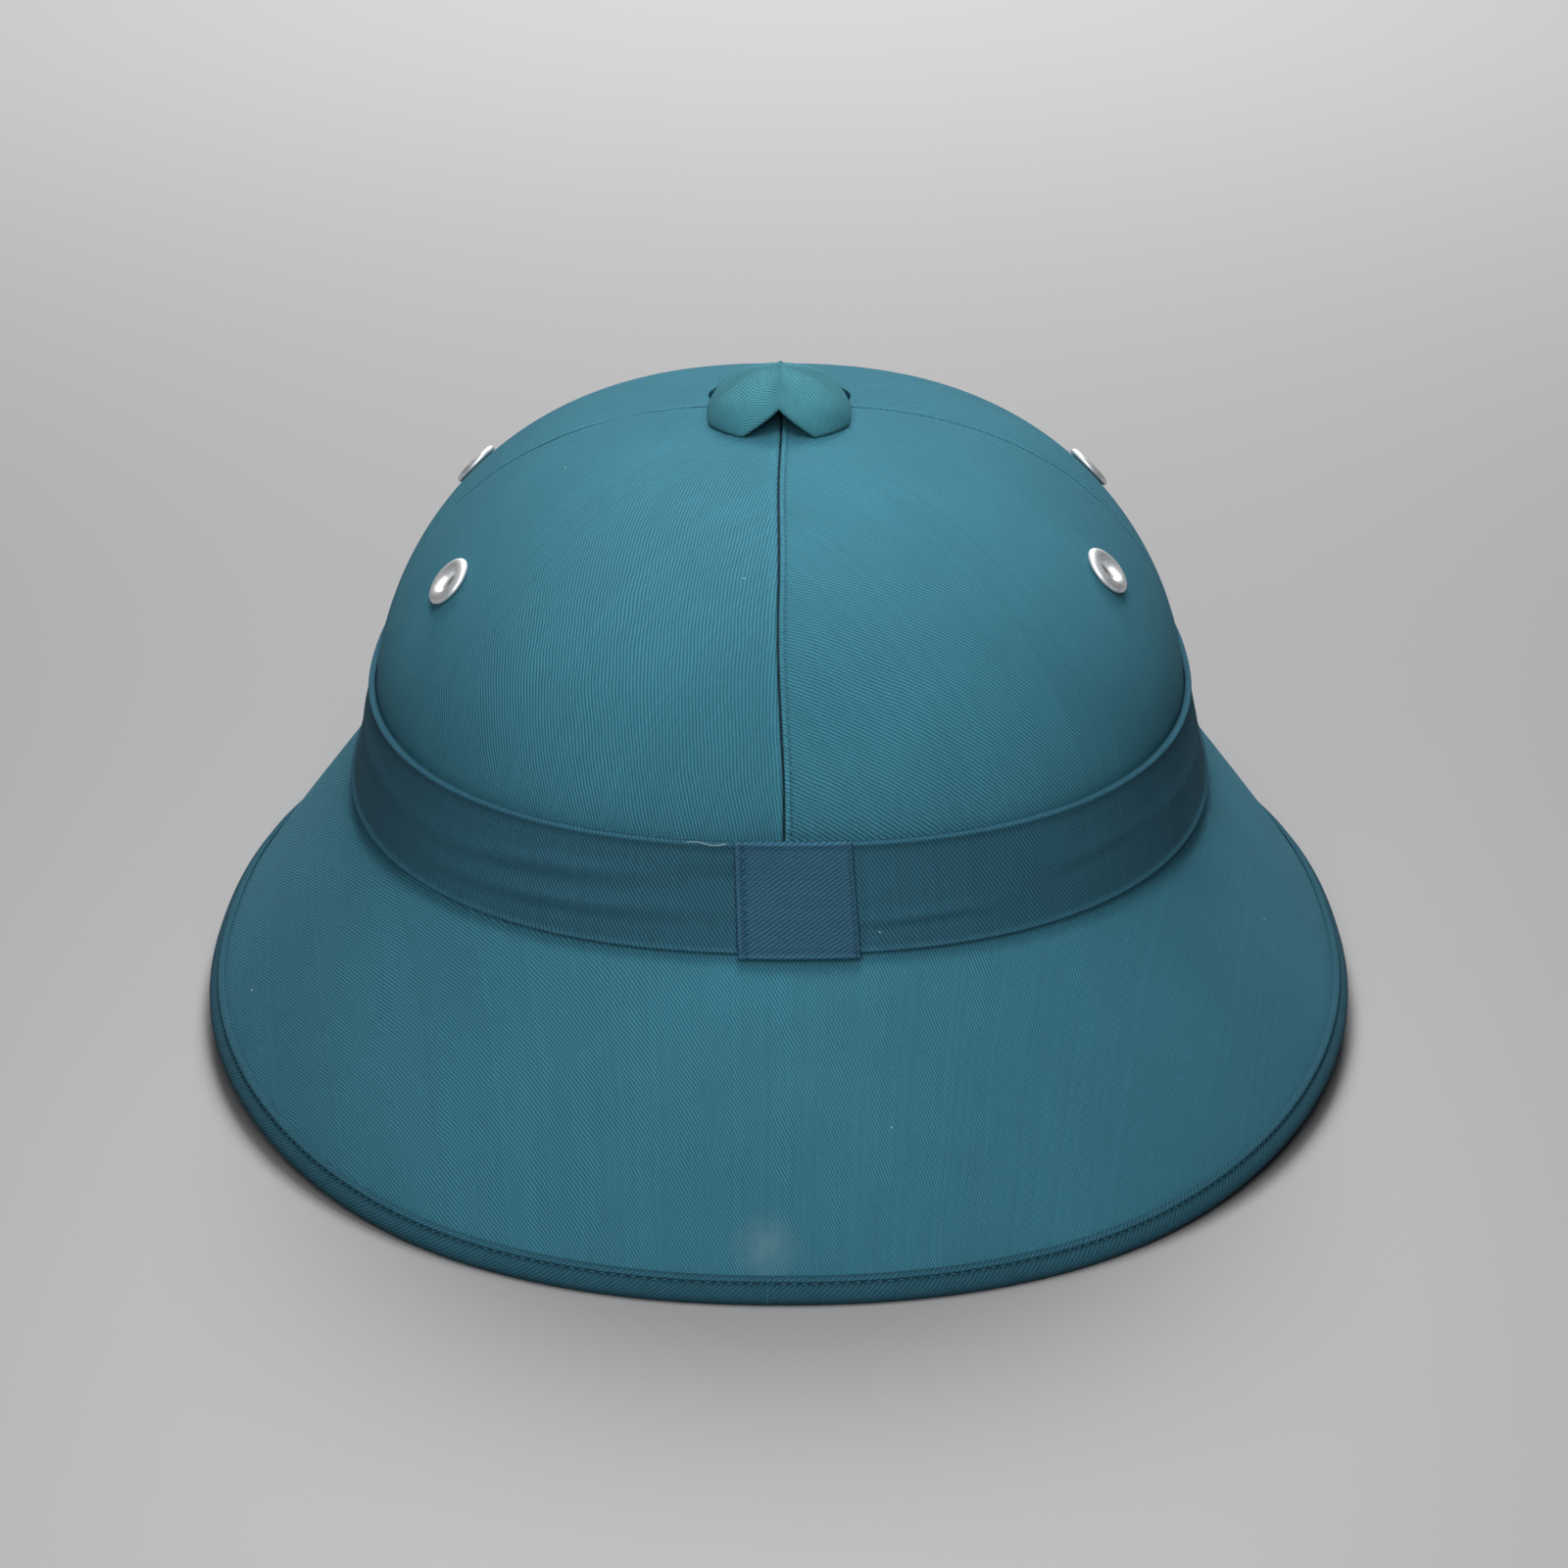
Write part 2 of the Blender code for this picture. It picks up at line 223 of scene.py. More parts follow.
def pattern(
    name, replaced, material, columns, rows, place, lay, painted_shading=None, closed=False, looped=False, holes=()
):
    """A cloth piece of columns by rows quads. place gives the points for u, v and depth, which runs from
    0 at the outer face to 1 at the inner one. lay gives the cloth's millimetres for u and v, and the
    third function gives painted light: how much a painted highlight lightens the cloth there, or painted
    shade darkens it, as a share."""
    bm = bmesh.new()
    bmesh.ops.create_grid(bm, x_segments=columns, y_segments=rows, size=1)
    if not looped:
        wall = bmesh.ops.extrude_face_region(bm, geom=bm.faces[:], use_keep_orig=True)
        inner = [part for part in wall["geom"] if isinstance(part, bmesh.types.BMVert)]
        bmesh.ops.translate(bm, verts=inner, vec=(0, 0, -1))
    if closed:
        ends = [face for face in bm.faces if abs(face.calc_center_median().x) > 1 - 1e-6]
        bmesh.ops.delete(bm, geom=ends, context="FACES_ONLY")
    bm.verts.index_update()
    flat = np.array([vertex.co for vertex in bm.verts])
    u, v, depth = (flat[:, 0] + 1) / 2, (flat[:, 1] + 1) / 2, -flat[:, 2]
    moved = place(u, v, depth)
    cloth = np.stack(np.broadcast_arrays(*lay(u, v)), axis=-1)
    uv_layer = bm.loops.layers.uv.new("cloth")
    for face in bm.faces:
        for loop in face.loops:
            loop[uv_layer].uv = cloth[loop.vert.index]
    wear_and_painted_shade = np.broadcast_to(painted_shading(u, v) if painted_shading else 0.0, u.shape)
    painted_shading_layer = bm.verts.layers.float.new("painted_shading")
    for vertex, point, share in zip(bm.verts, moved, wear_and_painted_shade):
        vertex.co = point
        vertex[painted_shading_layer] = share
    bmesh.ops.remove_doubles(bm, verts=bm.verts, dist=1e-6)
    bmesh.ops.dissolve_degenerate(bm, edges=bm.edges, dist=1e-7)
    for centre, axis, radius in holes:
        pierce(bm, centre, axis, radius)
    bmesh.ops.recalc_face_normals(bm, faces=bm.faces)
    return finish_piece(bm, name, replaced, material)

# %% [markdown]
# ## Shader maths as plain expressions
#
# A weave is a small sum over the cloth's two directions. Wiring such sums by hand hides what they mean,
# so a socket is wrapped in a class whose operators add the Math nodes. Every other node comes from one
# method, which sets the node's own settings first and its sockets after.

# %% Sockets that do sums
class Signal:
    """An output socket. Python's operators on it add Math nodes to the material."""

    def __init__(self, recipe, socket):
        self.recipe, self.socket = recipe, socket

    def math(self, operation, *values):
        return self.recipe.node("Math", {"operation": operation}, dict(enumerate(values)))

    def __add__(self, other):
        return self.math("ADD", self, other)

    def __sub__(self, other):
        return self.math("SUBTRACT", self, other)

    def __rsub__(self, other):
        return self.math("SUBTRACT", other, self)

    def __mul__(self, other):
        return self.math("MULTIPLY", self, other)

    def __truediv__(self, other):
        return self.math("DIVIDE", self, other)

    __radd__, __rmul__ = __add__, __mul__

    def cycle(self):
        """The position within one repeat, from 0 to 1."""
        return self.math("FRACT", self)

    def whole(self):
        """The number of the repeat."""
        return self.math("FLOOR", self)

    def larger(self, other):
        return self.math("MAXIMUM", self, other)

    def between(self, low, high):
        """0 below low, 1 above high, and a smooth step between them."""
        ramp = {"interpolation_type": "SMOOTHSTEP"}
        return self.recipe.node("MapRange", ramp, {"Value": self, "From Min": low, "From Max": high})


class Recipe:
    """A material under construction."""

    def __init__(self, name):
        self.material = bpy.data.materials.new(name)
        self.material.use_nodes = True
        self.tree = self.material.node_tree
        self.tree.nodes.clear()

    def node(self, kind, settings=None, sockets=None, output=0):
        made = self.tree.nodes.new("ShaderNode" + kind)
        for name, value in (settings or {}).items():
            setattr(made, name, value)
        for key, value in (sockets or {}).items():
            if isinstance(value, Signal):
                self.tree.links.new(value.socket, made.inputs[key])
            else:
                made.inputs[key].default_value = value
        return Signal(self, made.outputs[output])

    def noise(self, where, scale, detail=2.0, rough=0.5):
        """Soft cloudy noise round 0.5, at a scale in repeats per unit of the coordinates."""
        sockets = {"Vector": where, "Scale": scale, "Detail": detail, "Roughness": rough}
        return self.node("TexNoise", {}, sockets)

    def mix(self, share, first, second):
        """A colour between two colours."""
        return self.node("Mix", {"data_type": "RGBA"}, {0: share, 6: first, 7: second}, 2)

    def shade(self, colour, amount):
        """A colour made lighter or darker by a number."""
        return self.node("VectorMath", {"operation": "SCALE"}, {0: colour, "Scale": amount})

    def surface(self, **sockets):
        """The Principled shader and the output, which end every recipe."""
        shader = self.node("BsdfPrincipled", {}, sockets_named(sockets))
        out = self.tree.nodes.new("ShaderNodeOutputMaterial")
        self.tree.links.new(shader.socket, out.inputs["Surface"])
        return self.material

    def bump(self, height, depth, strength=1.0):
        """Relief of a depth in metres."""
        return self.node("Bump", {}, {"Strength": strength, "Distance": depth, "Height": height})


def sockets_named(sockets):
    """Base_Color as a keyword becomes the socket's name, Base Color."""
    return {name.replace("_", " "): value for name, value in sockets.items()}


# %% [markdown]
# ## Cotton twill
#
# In a two-and-one twill each warp thread floats over two picks of weft and dips under the third, and its
# neighbour does the same one pick higher. The floats line up as slanting ribs, here 0.75 mm apart. The
# height of the threads is worked out from the cloth's own millimetres, in the UV map. It gives both the
# bump and painted shade in the valleys, so the ribs stay on the cloth from every side. Slow noise bends
# the threads a little, because no real cloth is ruled with a straightedge, and fades and darkens the dye in patches.

# %% The twill recipe
WARP_SPACING = 0.30
PICK_SPACING = 0.45
SHED = 3
FLOAT_DEPTH = 0.22 * MM
# The share of the tone that is darkened in the valleys between the threads: painted shade.
VALLEY_PAINTED_SHADE = 0.72


def twill(name, colour, smudge=None):
    """Twill of one dye, whose ribs fall to the right of the UV map. smudge is the middle and the radius of a
    pale scuffed place."""
    recipe = Recipe(name)
    cloth = recipe.node("UVMap", {"uv_map": "cloth"})
    where = recipe.node("TexCoord", {}, {}, "Object")
    drift = recipe.node("TexNoise", {}, {"Vector": cloth, "Scale": 0.05, "Detail": 3.0}, "Color")
    drift = recipe.node("VectorMath", {"operation": "MULTIPLY_ADD"}, {0: drift, 1: (2.2, 2.2, 0), 2: cloth})
    across, along = [recipe.node("SeparateXYZ", {}, {0: drift}, axis) for axis in ("X", "Y")]
    warp = across / WARP_SPACING
    thread = warp.whole()
    side = warp.cycle() * 2 - 1
    pick = along / PICK_SPACING
    lift = ((pick + thread) / SHED).cycle() * 2 - 1
    warp_height = (1 - side * side * 0.55) * (1 - lift * lift)
    beat = pick.cycle() * 2 - 1
    weft_height = (1 - beat * beat) * 0.22
    relief = warp_height.larger(weft_height)
    yarn = recipe.node("TexWhiteNoise", {"noise_dimensions": "1D"}, {"W": thread})
    slub = recipe.noise(recipe.node("VectorMath", {"operation": "MULTIPLY"}, {0: cloth, 1: (3.0, 0.5, 0)}), 1.0)
    fuzz = recipe.noise(cloth, 4.0, 3.0, 0.7)
    patches = recipe.noise(where, 26.0, 4.0, 0.55).between(0.35, 0.72)
    # Painted light from the pieces: above zero it paints a highlight onto the tone, below zero it paints shade.
    painted_shading = recipe.node("Attribute", {"attribute_name": "painted_shading"}, {}, "Fac")
    # The tone is darker in the valleys between the threads: painted shade.
    tone = (1 - VALLEY_PAINTED_SHADE) + relief * VALLEY_PAINTED_SHADE
    tone = tone * (0.90 + yarn * 0.10 + slub * 0.10) * (0.84 + fuzz * 0.32) * (0.95 + patches * 0.10)
    shaded = recipe.shade(colour, tone * (1 + painted_shading))
    if smudge:
        reach = recipe.node("VectorMath", {"operation": "DISTANCE"}, {0: where, 1: smudge[0]}, "Value")
        wear_and_highlight = (1 - reach / smudge[1]).larger(0) * recipe.noise(where, 240.0, 4.0, 0.7)
        shaded = recipe.mix(wear_and_highlight * 0.38, shaded, (0.40, 0.52, 0.58, 1))
    return recipe.surface(
        Base_Color=shaded,
        Roughness=0.82 + relief * 0.1,
        Specular_IOR_Level=0.15,
        Normal=recipe.bump(relief + fuzz * 0.35, FLOAT_DEPTH),
    )


BRIM_SMUDGE = ((1.5 * MM, 157.6 * MM, 9.0 * MM), 8 * MM)
crown_twill = twill("crown_twill", (0.072, 0.303, 0.409))
brim_twill = twill("brim_twill", (0.079, 0.328, 0.447), BRIM_SMUDGE)
band_twill = twill("band_twill", (0.048, 0.184, 0.263))
patch_twill = twill("patch_twill", (0.056, 0.180, 0.275))
binding_twill = twill("binding_twill", (0.037, 0.145, 0.205))
cap_twill = twill("cap_twill", (0.088, 0.355, 0.435))
print("twill ribs", round(SHED * PICK_SPACING * cos(atan(PICK_SPACING / WARP_SPACING)), 2), "mm apart")

# %% [markdown]
# ## Thread, aluminium and pressed pulp
#
# The thread is two strands twisted together, a little shinier than the cloth. The eyelets are stamped
# aluminium, bright and dull grey in cloudy patches, with fine scratches. The shell is felted fibre pulp,
# which shows only from below.

# %% Thread, metal and pulp recipes
def thread_recipe(name, colour):
    recipe = Recipe(name)
    where = recipe.node("TexCoord", {}, {}, "Object")
    strands = recipe.node("TexWave", {"bands_direction": "DIAGONAL"}, {"Vector": where, "Scale": 1600.0})
    wear_and_painted_shade = recipe.noise(where, 300.0)
    dye = recipe.shade(colour, 0.75 + strands * 0.2 + wear_and_painted_shade * 0.25)
    return recipe.surface(Base_Color=dye, Roughness=0.7, Specular_IOR_Level=0.2, Normal=recipe.bump(strands, 0.00005))


def aluminium_recipe():
    recipe = Recipe("eyelet_aluminium")
    where = recipe.node("TexCoord", {}, {}, "Object")
    cloud = recipe.noise(where, 420.0, 4.0, 0.6)
    scratch = recipe.noise(recipe.node("VectorMath", {"operation": "MULTIPLY"}, {0: where, 1: (1, 1, 9)}), 900.0, 3.0)
    dull = cloud.between(0.42, 0.68)
    metal = recipe.mix(dull, (0.93, 0.94, 0.95, 1), (0.74, 0.77, 0.78, 1))
    return recipe.surface(
        Base_Color=metal,
        Metallic=0.62 + dull * 0.15,
        Roughness=0.34 + dull * 0.16 + scratch * 0.1,
        Normal=recipe.bump(scratch + cloud, 0.00003),
    )


def pulp_recipe():
    recipe = Recipe("pressed_pulp")
    where = recipe.node("TexCoord", {}, {}, "Object")
    fibres = recipe.noise(recipe.node("VectorMath", {"operation": "MULTIPLY"}, {0: where, 1: (1, 1, 5)}), 420.0, 5.0, 0.65)
    felt = recipe.noise(where, 1300.0, 3.0, 0.7)
    stains = recipe.noise(where, 22.0, 4.0, 0.6)
    pulp = recipe.mix(stains.between(0.35, 0.75), (0.47, 0.42, 0.33, 1), (0.36, 0.31, 0.23, 1))
    pulp = recipe.shade(pulp, 0.72 + fibres * 0.36 + felt * 0.2)
    return recipe.surface(Base_Color=pulp, Roughness=0.9, Specular_IOR_Level=0.2, Normal=recipe.bump(fibres + felt * 0.6, 0.0004))


thread_finish = thread_recipe("sewing_thread", (0.040, 0.180, 0.240))
lint_finish = thread_recipe("lint", (0.36, 0.50, 0.56))
aluminium = aluminium_recipe()
pulp = pulp_recipe()
print("materials", len(bpy.data.materials))

# %% [markdown]
# ## Four gores
#
# The crown's cloth is four triangles of twill, sewn together at the back, the front and both sides. A
# triangle of cloth stretched over a dome turns its grain from one seam to the other, so the ribs stand
# steep beside the seam on one gore and lie flat beside it on the next. That comes out of the UV map: it
# lays the gore flat round its own middle. The columns of the grid are close together at the seams, where
# each gore's edge rolls down into the stitched groove.

# %% Distances up the crown
CROWN_TABLE = np.linspace(1.9, 2.99, 900)


def crown_rises():
    """The distance up the crown, along the middle of a gore, at each station of the table."""
    line = skin(CROWN_TABLE, 1.5 * QUARTER, 0)
    return np.concatenate([[0], np.cumsum(np.linalg.norm(np.diff(line, axis=0), axis=1))])


CROWN_RISES = crown_rises()
GORE_TOP = 2.985
GORE_LENGTH = np.interp(GORE_TOP, CROWN_TABLE, CROWN_RISES)


def crown_station(distance):
    """The station at a distance up the crown from the gore's lower hem."""
    return np.interp(distance, CROWN_RISES, CROWN_TABLE)


def smooth(share):
    """A smooth step from 0 to 1."""
    share = np.clip(share, 0, 1)
    return share * share * (3 - 2 * share)


print("a gore is", round(GORE_LENGTH / MM), "mm from hem to top")

# %% [markdown]
# The seams differ. At the back and the front one gore's edge is folded and sewn down flat over the other,
# a felled seam: a dark line, a raised strip 1.4 mm wide, then a row of stitches. The side seams are plain:
# both edges roll down into a narrow stitched groove. A seam wanders by a millimetre or two where the
# cloth was pulled down hard at the band, and the two gores share that line.

# %% Seam profiles
FELL_WIDTH = 1.45
SEAM_STITCH = 1.6 * MM
SIDE_DASH = 2.3 * MM
FELLED = {1: "first", 3: "first"}


def hill(distance, middle, width):
    """A soft hill of height 1."""
    return np.exp(-(((distance - middle) / width) ** 2))


def repeat(along, period):
    """A wave from 0 to 1 along a seam."""
    return 0.5 + 0.5 * np.cos(2 * pi * along / period)


def fray(along):
    """The uneven edge of a strip that was cut by hand, from -1 to 1."""
    return np.sin(along / MM * 2.9 + 2 * np.sin(along / MM * 0.71))


def plain_edge(distance):
    """The lift of a rolled edge at a distance from the seam in metres."""
    near = distance / MM
    roll = 0.9 * (1 - np.sqrt(1 - (1 - np.clip(near / 0.6, 0, 1)) ** 2))
    return (0.10 * hill(near, 1.0, 0.45) - roll - 0.10 * (1 - smooth(near / 6))) * MM


def plain_seam_painted_light(distance, along, dashed):
    """Painted shade in the groove of a rolled edge, in dashes where the stitches let the cloth bridge it, and a faint
    painted highlight beside the groove.
    """
    near = distance / MM
    dash = smooth(repeat(along + 0.4 * MM * fray(along / 3), SIDE_DASH) * 2.6) if dashed else 1.0
    return 0.09 * hill(near, 1.3, 0.8) - 0.72 * hill(near, 0, 0.34) * (0.12 + 0.88 * dash)


def felled_edge(distance, along):
    """The lift of the folded strip: steep at the seam, flat, then pulled down at each stitch."""
    near = distance / MM
    strip = 0.42 * (1 - smooth((near - FELL_WIDTH + 0.30) / 0.35)) * smooth(near / 0.3)
    drop = 0.6 * (1 - smooth(near / 0.26))
    pull = 0.16 * hill(near, FELL_WIDTH, 0.3) * (0.4 + repeat(along, SEAM_STITCH))
    return (strip * (1 + 0.22 * fray(along)) - drop - pull) * MM


def felled_seam_painted_light(distance, along):
    """Painted shade: a dark line at the fold and a dark dot at each needle hole. Painted highlight: the strip, a little
    uneven, lighter towards the band where the fold catches light.
    """
    near = distance / MM
    low = 1 - smooth(along / MM / 34)
    strip = (0.10 + 0.26 * low + 0.08 * fray(along * 1.7)) * hill(near, 0.8, 0.42)
    holes = 0.42 * hill(near, FELL_WIDTH + 0.1, 0.24) * (1 - repeat(along, SEAM_STITCH))
    return strip - holes - 0.75 * hill(near, 0, 0.26)


def wander(seam, distance):
    """How far a seam strays round the helmet, in metres, at a distance up the crown."""
    low = 1 - smooth((distance / MM - 10) / 45)
    drift = {1: 1.5, 2: 0.5, 3: -0.8, 0: 0.0}[seam % 4]
    return (drift * low + 0.18 * np.sin(distance / MM * 0.11 + seam)) * MM


# %% [markdown]
# The grid's columns are set by their distance from the nearest seam, so the fine ones keep their
# millimetres all the way up to the narrow top of the gore. Each gore also has one punched hole, where an
# eyelet sits.

# %% Gores
GORE_SIDES = ("back_left", "back_right", "front_right", "front_left")
GORE_MIDDLE = 2.42
NEAR_COLUMNS = np.array([0.02, 0.1, 0.2, 0.32, 0.45, 0.65, 0.85, 1.05, 1.25, 1.45, 1.7, 2.0, 2.5, 3.2, 4.2]) * MM
OPEN_COLUMNS = 84
PUNCH_RADIUS = 3.3 * MM
EYELET_PLACES = (
    ("back_left", radians(27.0), 2.415),
    ("back_right", radians(180 - 24.8), 2.437),
    ("front_right", radians(180 + 24.0), 2.42),
    ("front_left", radians(360 - 24.0), 2.42),
)
GORE_COLUMNS = 2 * len(NEAR_COLUMNS) + OPEN_COLUMNS
GORE_ROWS = 250
FLAT_RADIUS = 0.100


def punched(azimuth, station):
    """The middle, the direction and the radius of the hole that an eyelet is pressed into."""
    place, _, _, out = skin_frame(station, azimuth)
    return Vector(place), Vector(out), PUNCH_RADIUS


EYELET_HOLES = {side: punched(azimuth, station) for side, azimuth, station in EYELET_PLACES}


def laid_flat(quadrant):
    """The rule that lays a gore flat round its middle, in millimetres."""
    middle, round_it, up, _ = skin_frame(GORE_MIDDLE, (quadrant + 0.5) * QUARTER)

    def lay(place):
        away = place - middle
        reach = np.linalg.norm(away, axis=-1)
        bent = 2 * FLAT_RADIUS * np.arcsin(np.minimum(reach / (2 * FLAT_RADIUS), 0.99))
        flat_x, flat_y = away @ round_it, away @ up
        grow = bent / np.maximum(np.hypot(flat_x, flat_y), 1e-9) / MM
        return flat_x * grow, flat_y * grow

    return lay


def gore_place(quadrant, u, v):
    """The station and azimuth of each vertex, with its distances from the two seams and up the crown."""
    along = GORE_LENGTH * v
    station = crown_station(along)
    scale = crown_scale(station)
    ends = np.interp(np.array([quadrant, quadrant + 1]) * QUARTER, TABLE_AZIMUTHS, FOOT_ARC)
    first = ends[0] * scale + wander(quadrant, along)
    last = ends[1] * scale + wander(quadrant + 1, along)
    width = last - first
    column = np.round(u * (GORE_COLUMNS - 1)).astype(int)
    count = len(NEAR_COLUMNS)
    shrink = np.minimum(1, width / (3.0 * NEAR_COLUMNS[-1]))
    edge = NEAR_COLUMNS[-1] * shrink
    share = (column - count + 1) / (OPEN_COLUMNS + 1)
    from_first = edge + (width - 2 * edge) * share
    low = column < count
    high = GORE_COLUMNS - 1 - column < count
    from_first = np.where(low, NEAR_COLUMNS[np.minimum(column, count - 1)] * shrink, from_first)
    mirrored = np.clip(GORE_COLUMNS - 1 - column, 0, count - 1)
    from_first = np.where(high, width - NEAR_COLUMNS[mirrored] * shrink, from_first)
    return station, foot_azimuth((first + from_first) / scale), from_first, width - from_first, along


def gore(quadrant):
    lay_flat = laid_flat(quadrant)

    def place(u, v, depth):
        station, azimuth, from_first, from_last, along = gore_place(quadrant, u, v)
        first_edge = felled_edge(from_first, along) if quadrant in FELLED else plain_edge(from_first)
        lift = (first_edge + plain_edge(from_last)) * (1 - depth) - 1.25 * MM * depth
        return skin(station, azimuth, lift)

    def lay(u, v):
        station, azimuth, _, _, _ = gore_place(quadrant, u, v)
        return lay_flat(skin(station, azimuth, 0))

    # Painted shade in the seams' grooves and painted highlights beside them.
    def painted_shading(u, v):
        _, _, from_first, from_last, along = gore_place(quadrant, u, v)
        at_sides = quadrant % 2 == 0
        if quadrant in FELLED:
            return felled_seam_painted_light(from_first, along) + plain_seam_painted_light(from_last, along, True)
        return plain_seam_painted_light(from_first, along, at_sides) + plain_seam_painted_light(from_last, along, False)

    side = GORE_SIDES[quadrant]
    return pattern(
        f"gore_{side}",
        [f"crown_panel_{side}"],
        crown_twill,
        GORE_COLUMNS - 1,
        GORE_ROWS,
        place,
        lay,
        painted_shading,
        holes=[EYELET_HOLES[side]],
    )


gores = [gore(quadrant) for quadrant in range(4)]

# %% [markdown]
# ## Stitches
#
# A machine stitch shows as a short bar of thread that dives into the cloth at both ends. There are
# hundreds, so each is a sphere of 24 faces, stretched along the seam and half sunk in it, and one row is
# one piece.

# %% Stitch rows
def stitch_row(name, places, alongs, outs, length, thick, material=None):
    """One piece of many stitches, from their middles and their directions."""
    bm = bmesh.new()
    for place, along, out in zip(places, unit(alongs), unit(outs)):
        side = np.cross(out, along)
        turn = Matrix((along * length / 2, side * thick / 2, out * thick / 2)).transposed().to_4x4()
        turn.translation = place
        bmesh.ops.create_uvsphere(bm, u_segments=6, v_segments=4, radius=1, matrix=turn)
    bmesh.ops.recalc_face_normals(bm, faces=bm.faces)
    return finish_piece(bm, name, [], material or thread_finish)


def seam_points(seam, offset, low, high, period, lift):
    """Places and directions of stitches beside a seam of the crown."""
    along = np.arange(low, high, period)
    station = crown_station(along)
    scale = crown_scale(station)
    start = np.interp(seam % 4 * QUARTER, TABLE_AZIMUTHS, FOOT_ARC)
    azimuth = foot_azimuth((start * scale + wander(seam, along) + offset) / scale)
    _, _, up, out = skin_frame(station, azimuth)
    return skin(station, azimuth, lift), up, out


SEAM_LOW, SEAM_HIGH = 3.0 * MM, GORE_LENGTH - 9 * MM
for seam, word in enumerate(("left", "back", "right", "front")):
    felled = seam in FELLED
    offset = FELL_WIDTH * MM if felled else 0.0
    lift = -0.04 * MM if felled else -0.62 * MM
    period = SEAM_STITCH if felled else SIDE_DASH
    places, alongs, outs = seam_points(seam, offset, SEAM_LOW, SEAM_HIGH, period, lift)
    stitch_row(f"stitches_{word}_seam", places, alongs, outs, 0.62 * period, 0.30 * MM)

# %% [markdown]
# ## The brim's cover
#
# One ring of twill is steamed and stretched over the flare of the brim. It was cut flat, so its ribs keep
# one direction seen from above, and they cross the slope at another angle on every side. The UV map
# unrolls the slope from the crown's foot outwards to copy that.

# %% Brim cover
BRIM_COLUMNS, BRIM_ROWS = 480, 52
BRIM_LOW, BRIM_HIGH = 0.025, 1.25


def meridian_table(low, high):
    """Developed distances down the brim, by station, along the back."""
    stations = np.linspace(high, low, 200)
    line = skin(stations, QUARTER, 0)
    return stations[::-1], np.concatenate([[0], np.cumsum(np.linalg.norm(np.diff(line, axis=0), axis=1))])[::-1]


BRIM_STATIONS, BRIM_DROPS = meridian_table(0.0, 1.0)


def brim_lay(station, azimuth):
    """The brim's cloth laid flat, in millimetres, with its warp from back to front."""
    reach = np.linalg.norm(outline(FOOT_WIDTH, FOOT_LENGTH, FOOT_SQUARENESS, azimuth), axis=-1)
    reach = (reach + np.interp(station, BRIM_STATIONS, BRIM_DROPS, right=0)) / MM
    return -reach * np.cos(azimuth), -reach * np.sin(azimuth)


def brim_place(u, v, depth):
    station = BRIM_LOW + (BRIM_HIGH - BRIM_LOW) * v
    return skin(station, u * 2 * pi, -CLOTH * depth)


brim_cover = pattern(
    "brim_cloth",
    ["brim_cover"],
    brim_twill,
    BRIM_COLUMNS,
    BRIM_ROWS,
    brim_place,
    lambda u, v: brim_lay(BRIM_LOW + (BRIM_HIGH - BRIM_LOW) * v, u * 2 * pi),
    closed=True,
)

# %% [markdown]
# ## The edge binding
#
# A bias strip is folded round the brim's edge and stitched through. Its section is a long U: a face on
# top, a rolled edge, and a face below. One closed loop of points makes the section, and the grid carries
# it round the brim. The upper edge is turned in, so it ends in a small round fold.

# %% Binding
BINDING_COLUMNS = 620
GRAIN_TURN = radians(16)


def hem(azimuth, lift, height, inset):
    """A point on the brim's last stretch: at a height over its lowest line, and an inset up the slope."""
    start = skin(0.0, azimuth, lift)
    along = unit(skin(0.05, azimuth, lift) - start)
    rise = edge_height(azimuth) + height - start[..., 2]
    return start + along * (rise / along[..., 2] + inset)[..., None]


def binding_section():
    """The loop round the folded strip, as lift, height and inset in millimetres. Its face bulges, turns
    down into the rolled edge and ends in the flat foot that the helmet rests on."""
    loop = [(0.12, 0, 5.9), (0.16, 0, 6.4), (0.42, 0, 6.62), (0.85, 0, 6.66), (1.2, 0, 6.45), (1.32, 0, 6.1)]
    loop += [(1.2, 0, 5.75), (0.98, 0, 5.45), (0.9, 0, 5.2), (0.98, 0, 4.95), (1.2, 0, 4.6), (1.38, 0, 4.1)]
    loop += [(1.46, 0, 3.5), (1.42, 0, 2.9), (1.28, 0, 2.3), (1.02, 0, 1.7), (0.7, 0, 1.15), (0.3, 0, 0.7)]
    loop += [(-0.15, 0, 0.32), (-0.6, 0, 0.1), (-1.2, 0, 0), (-2.2, 0, 0), (-3.3, 0, 0.03), (-4.0, 0, 0.25)]
    loop += [(-4.45, 0, 0.7), (-4.6, 0, 1.4), (-4.6, 0, 3.2), (-4.6, 0, 5.0), (-4.5, 0, 5.45), (-4.1, 0, 5.6)]
    loop += [(-3.72, 0, 5.45), (-3.6, 0, 5.0), (-3.6, 0, 3.0), (-3.5, 0, 1.7), (-2.6, 0, 1.2), (-1.2, 0, 1.2)]
    loop += [(-0.1, 0, 1.5), (0.1, 0, 2.2), (0.12, 0, 4.0)]
    return np.array(loop) * MM


SECTION = binding_section()
SECTION_RUN = np.concatenate([[0], np.cumsum(np.hypot(np.diff(SECTION[:, 0]), np.diff(SECTION[:, 2] + SECTION[:, 1])))])


def binding_place(u, v, depth):
    count = len(SECTION)
    row = np.round(v * count).astype(int) % count
    lift, height, inset = SECTION[row].T
    return hem(u * 2 * pi, lift, height, inset)


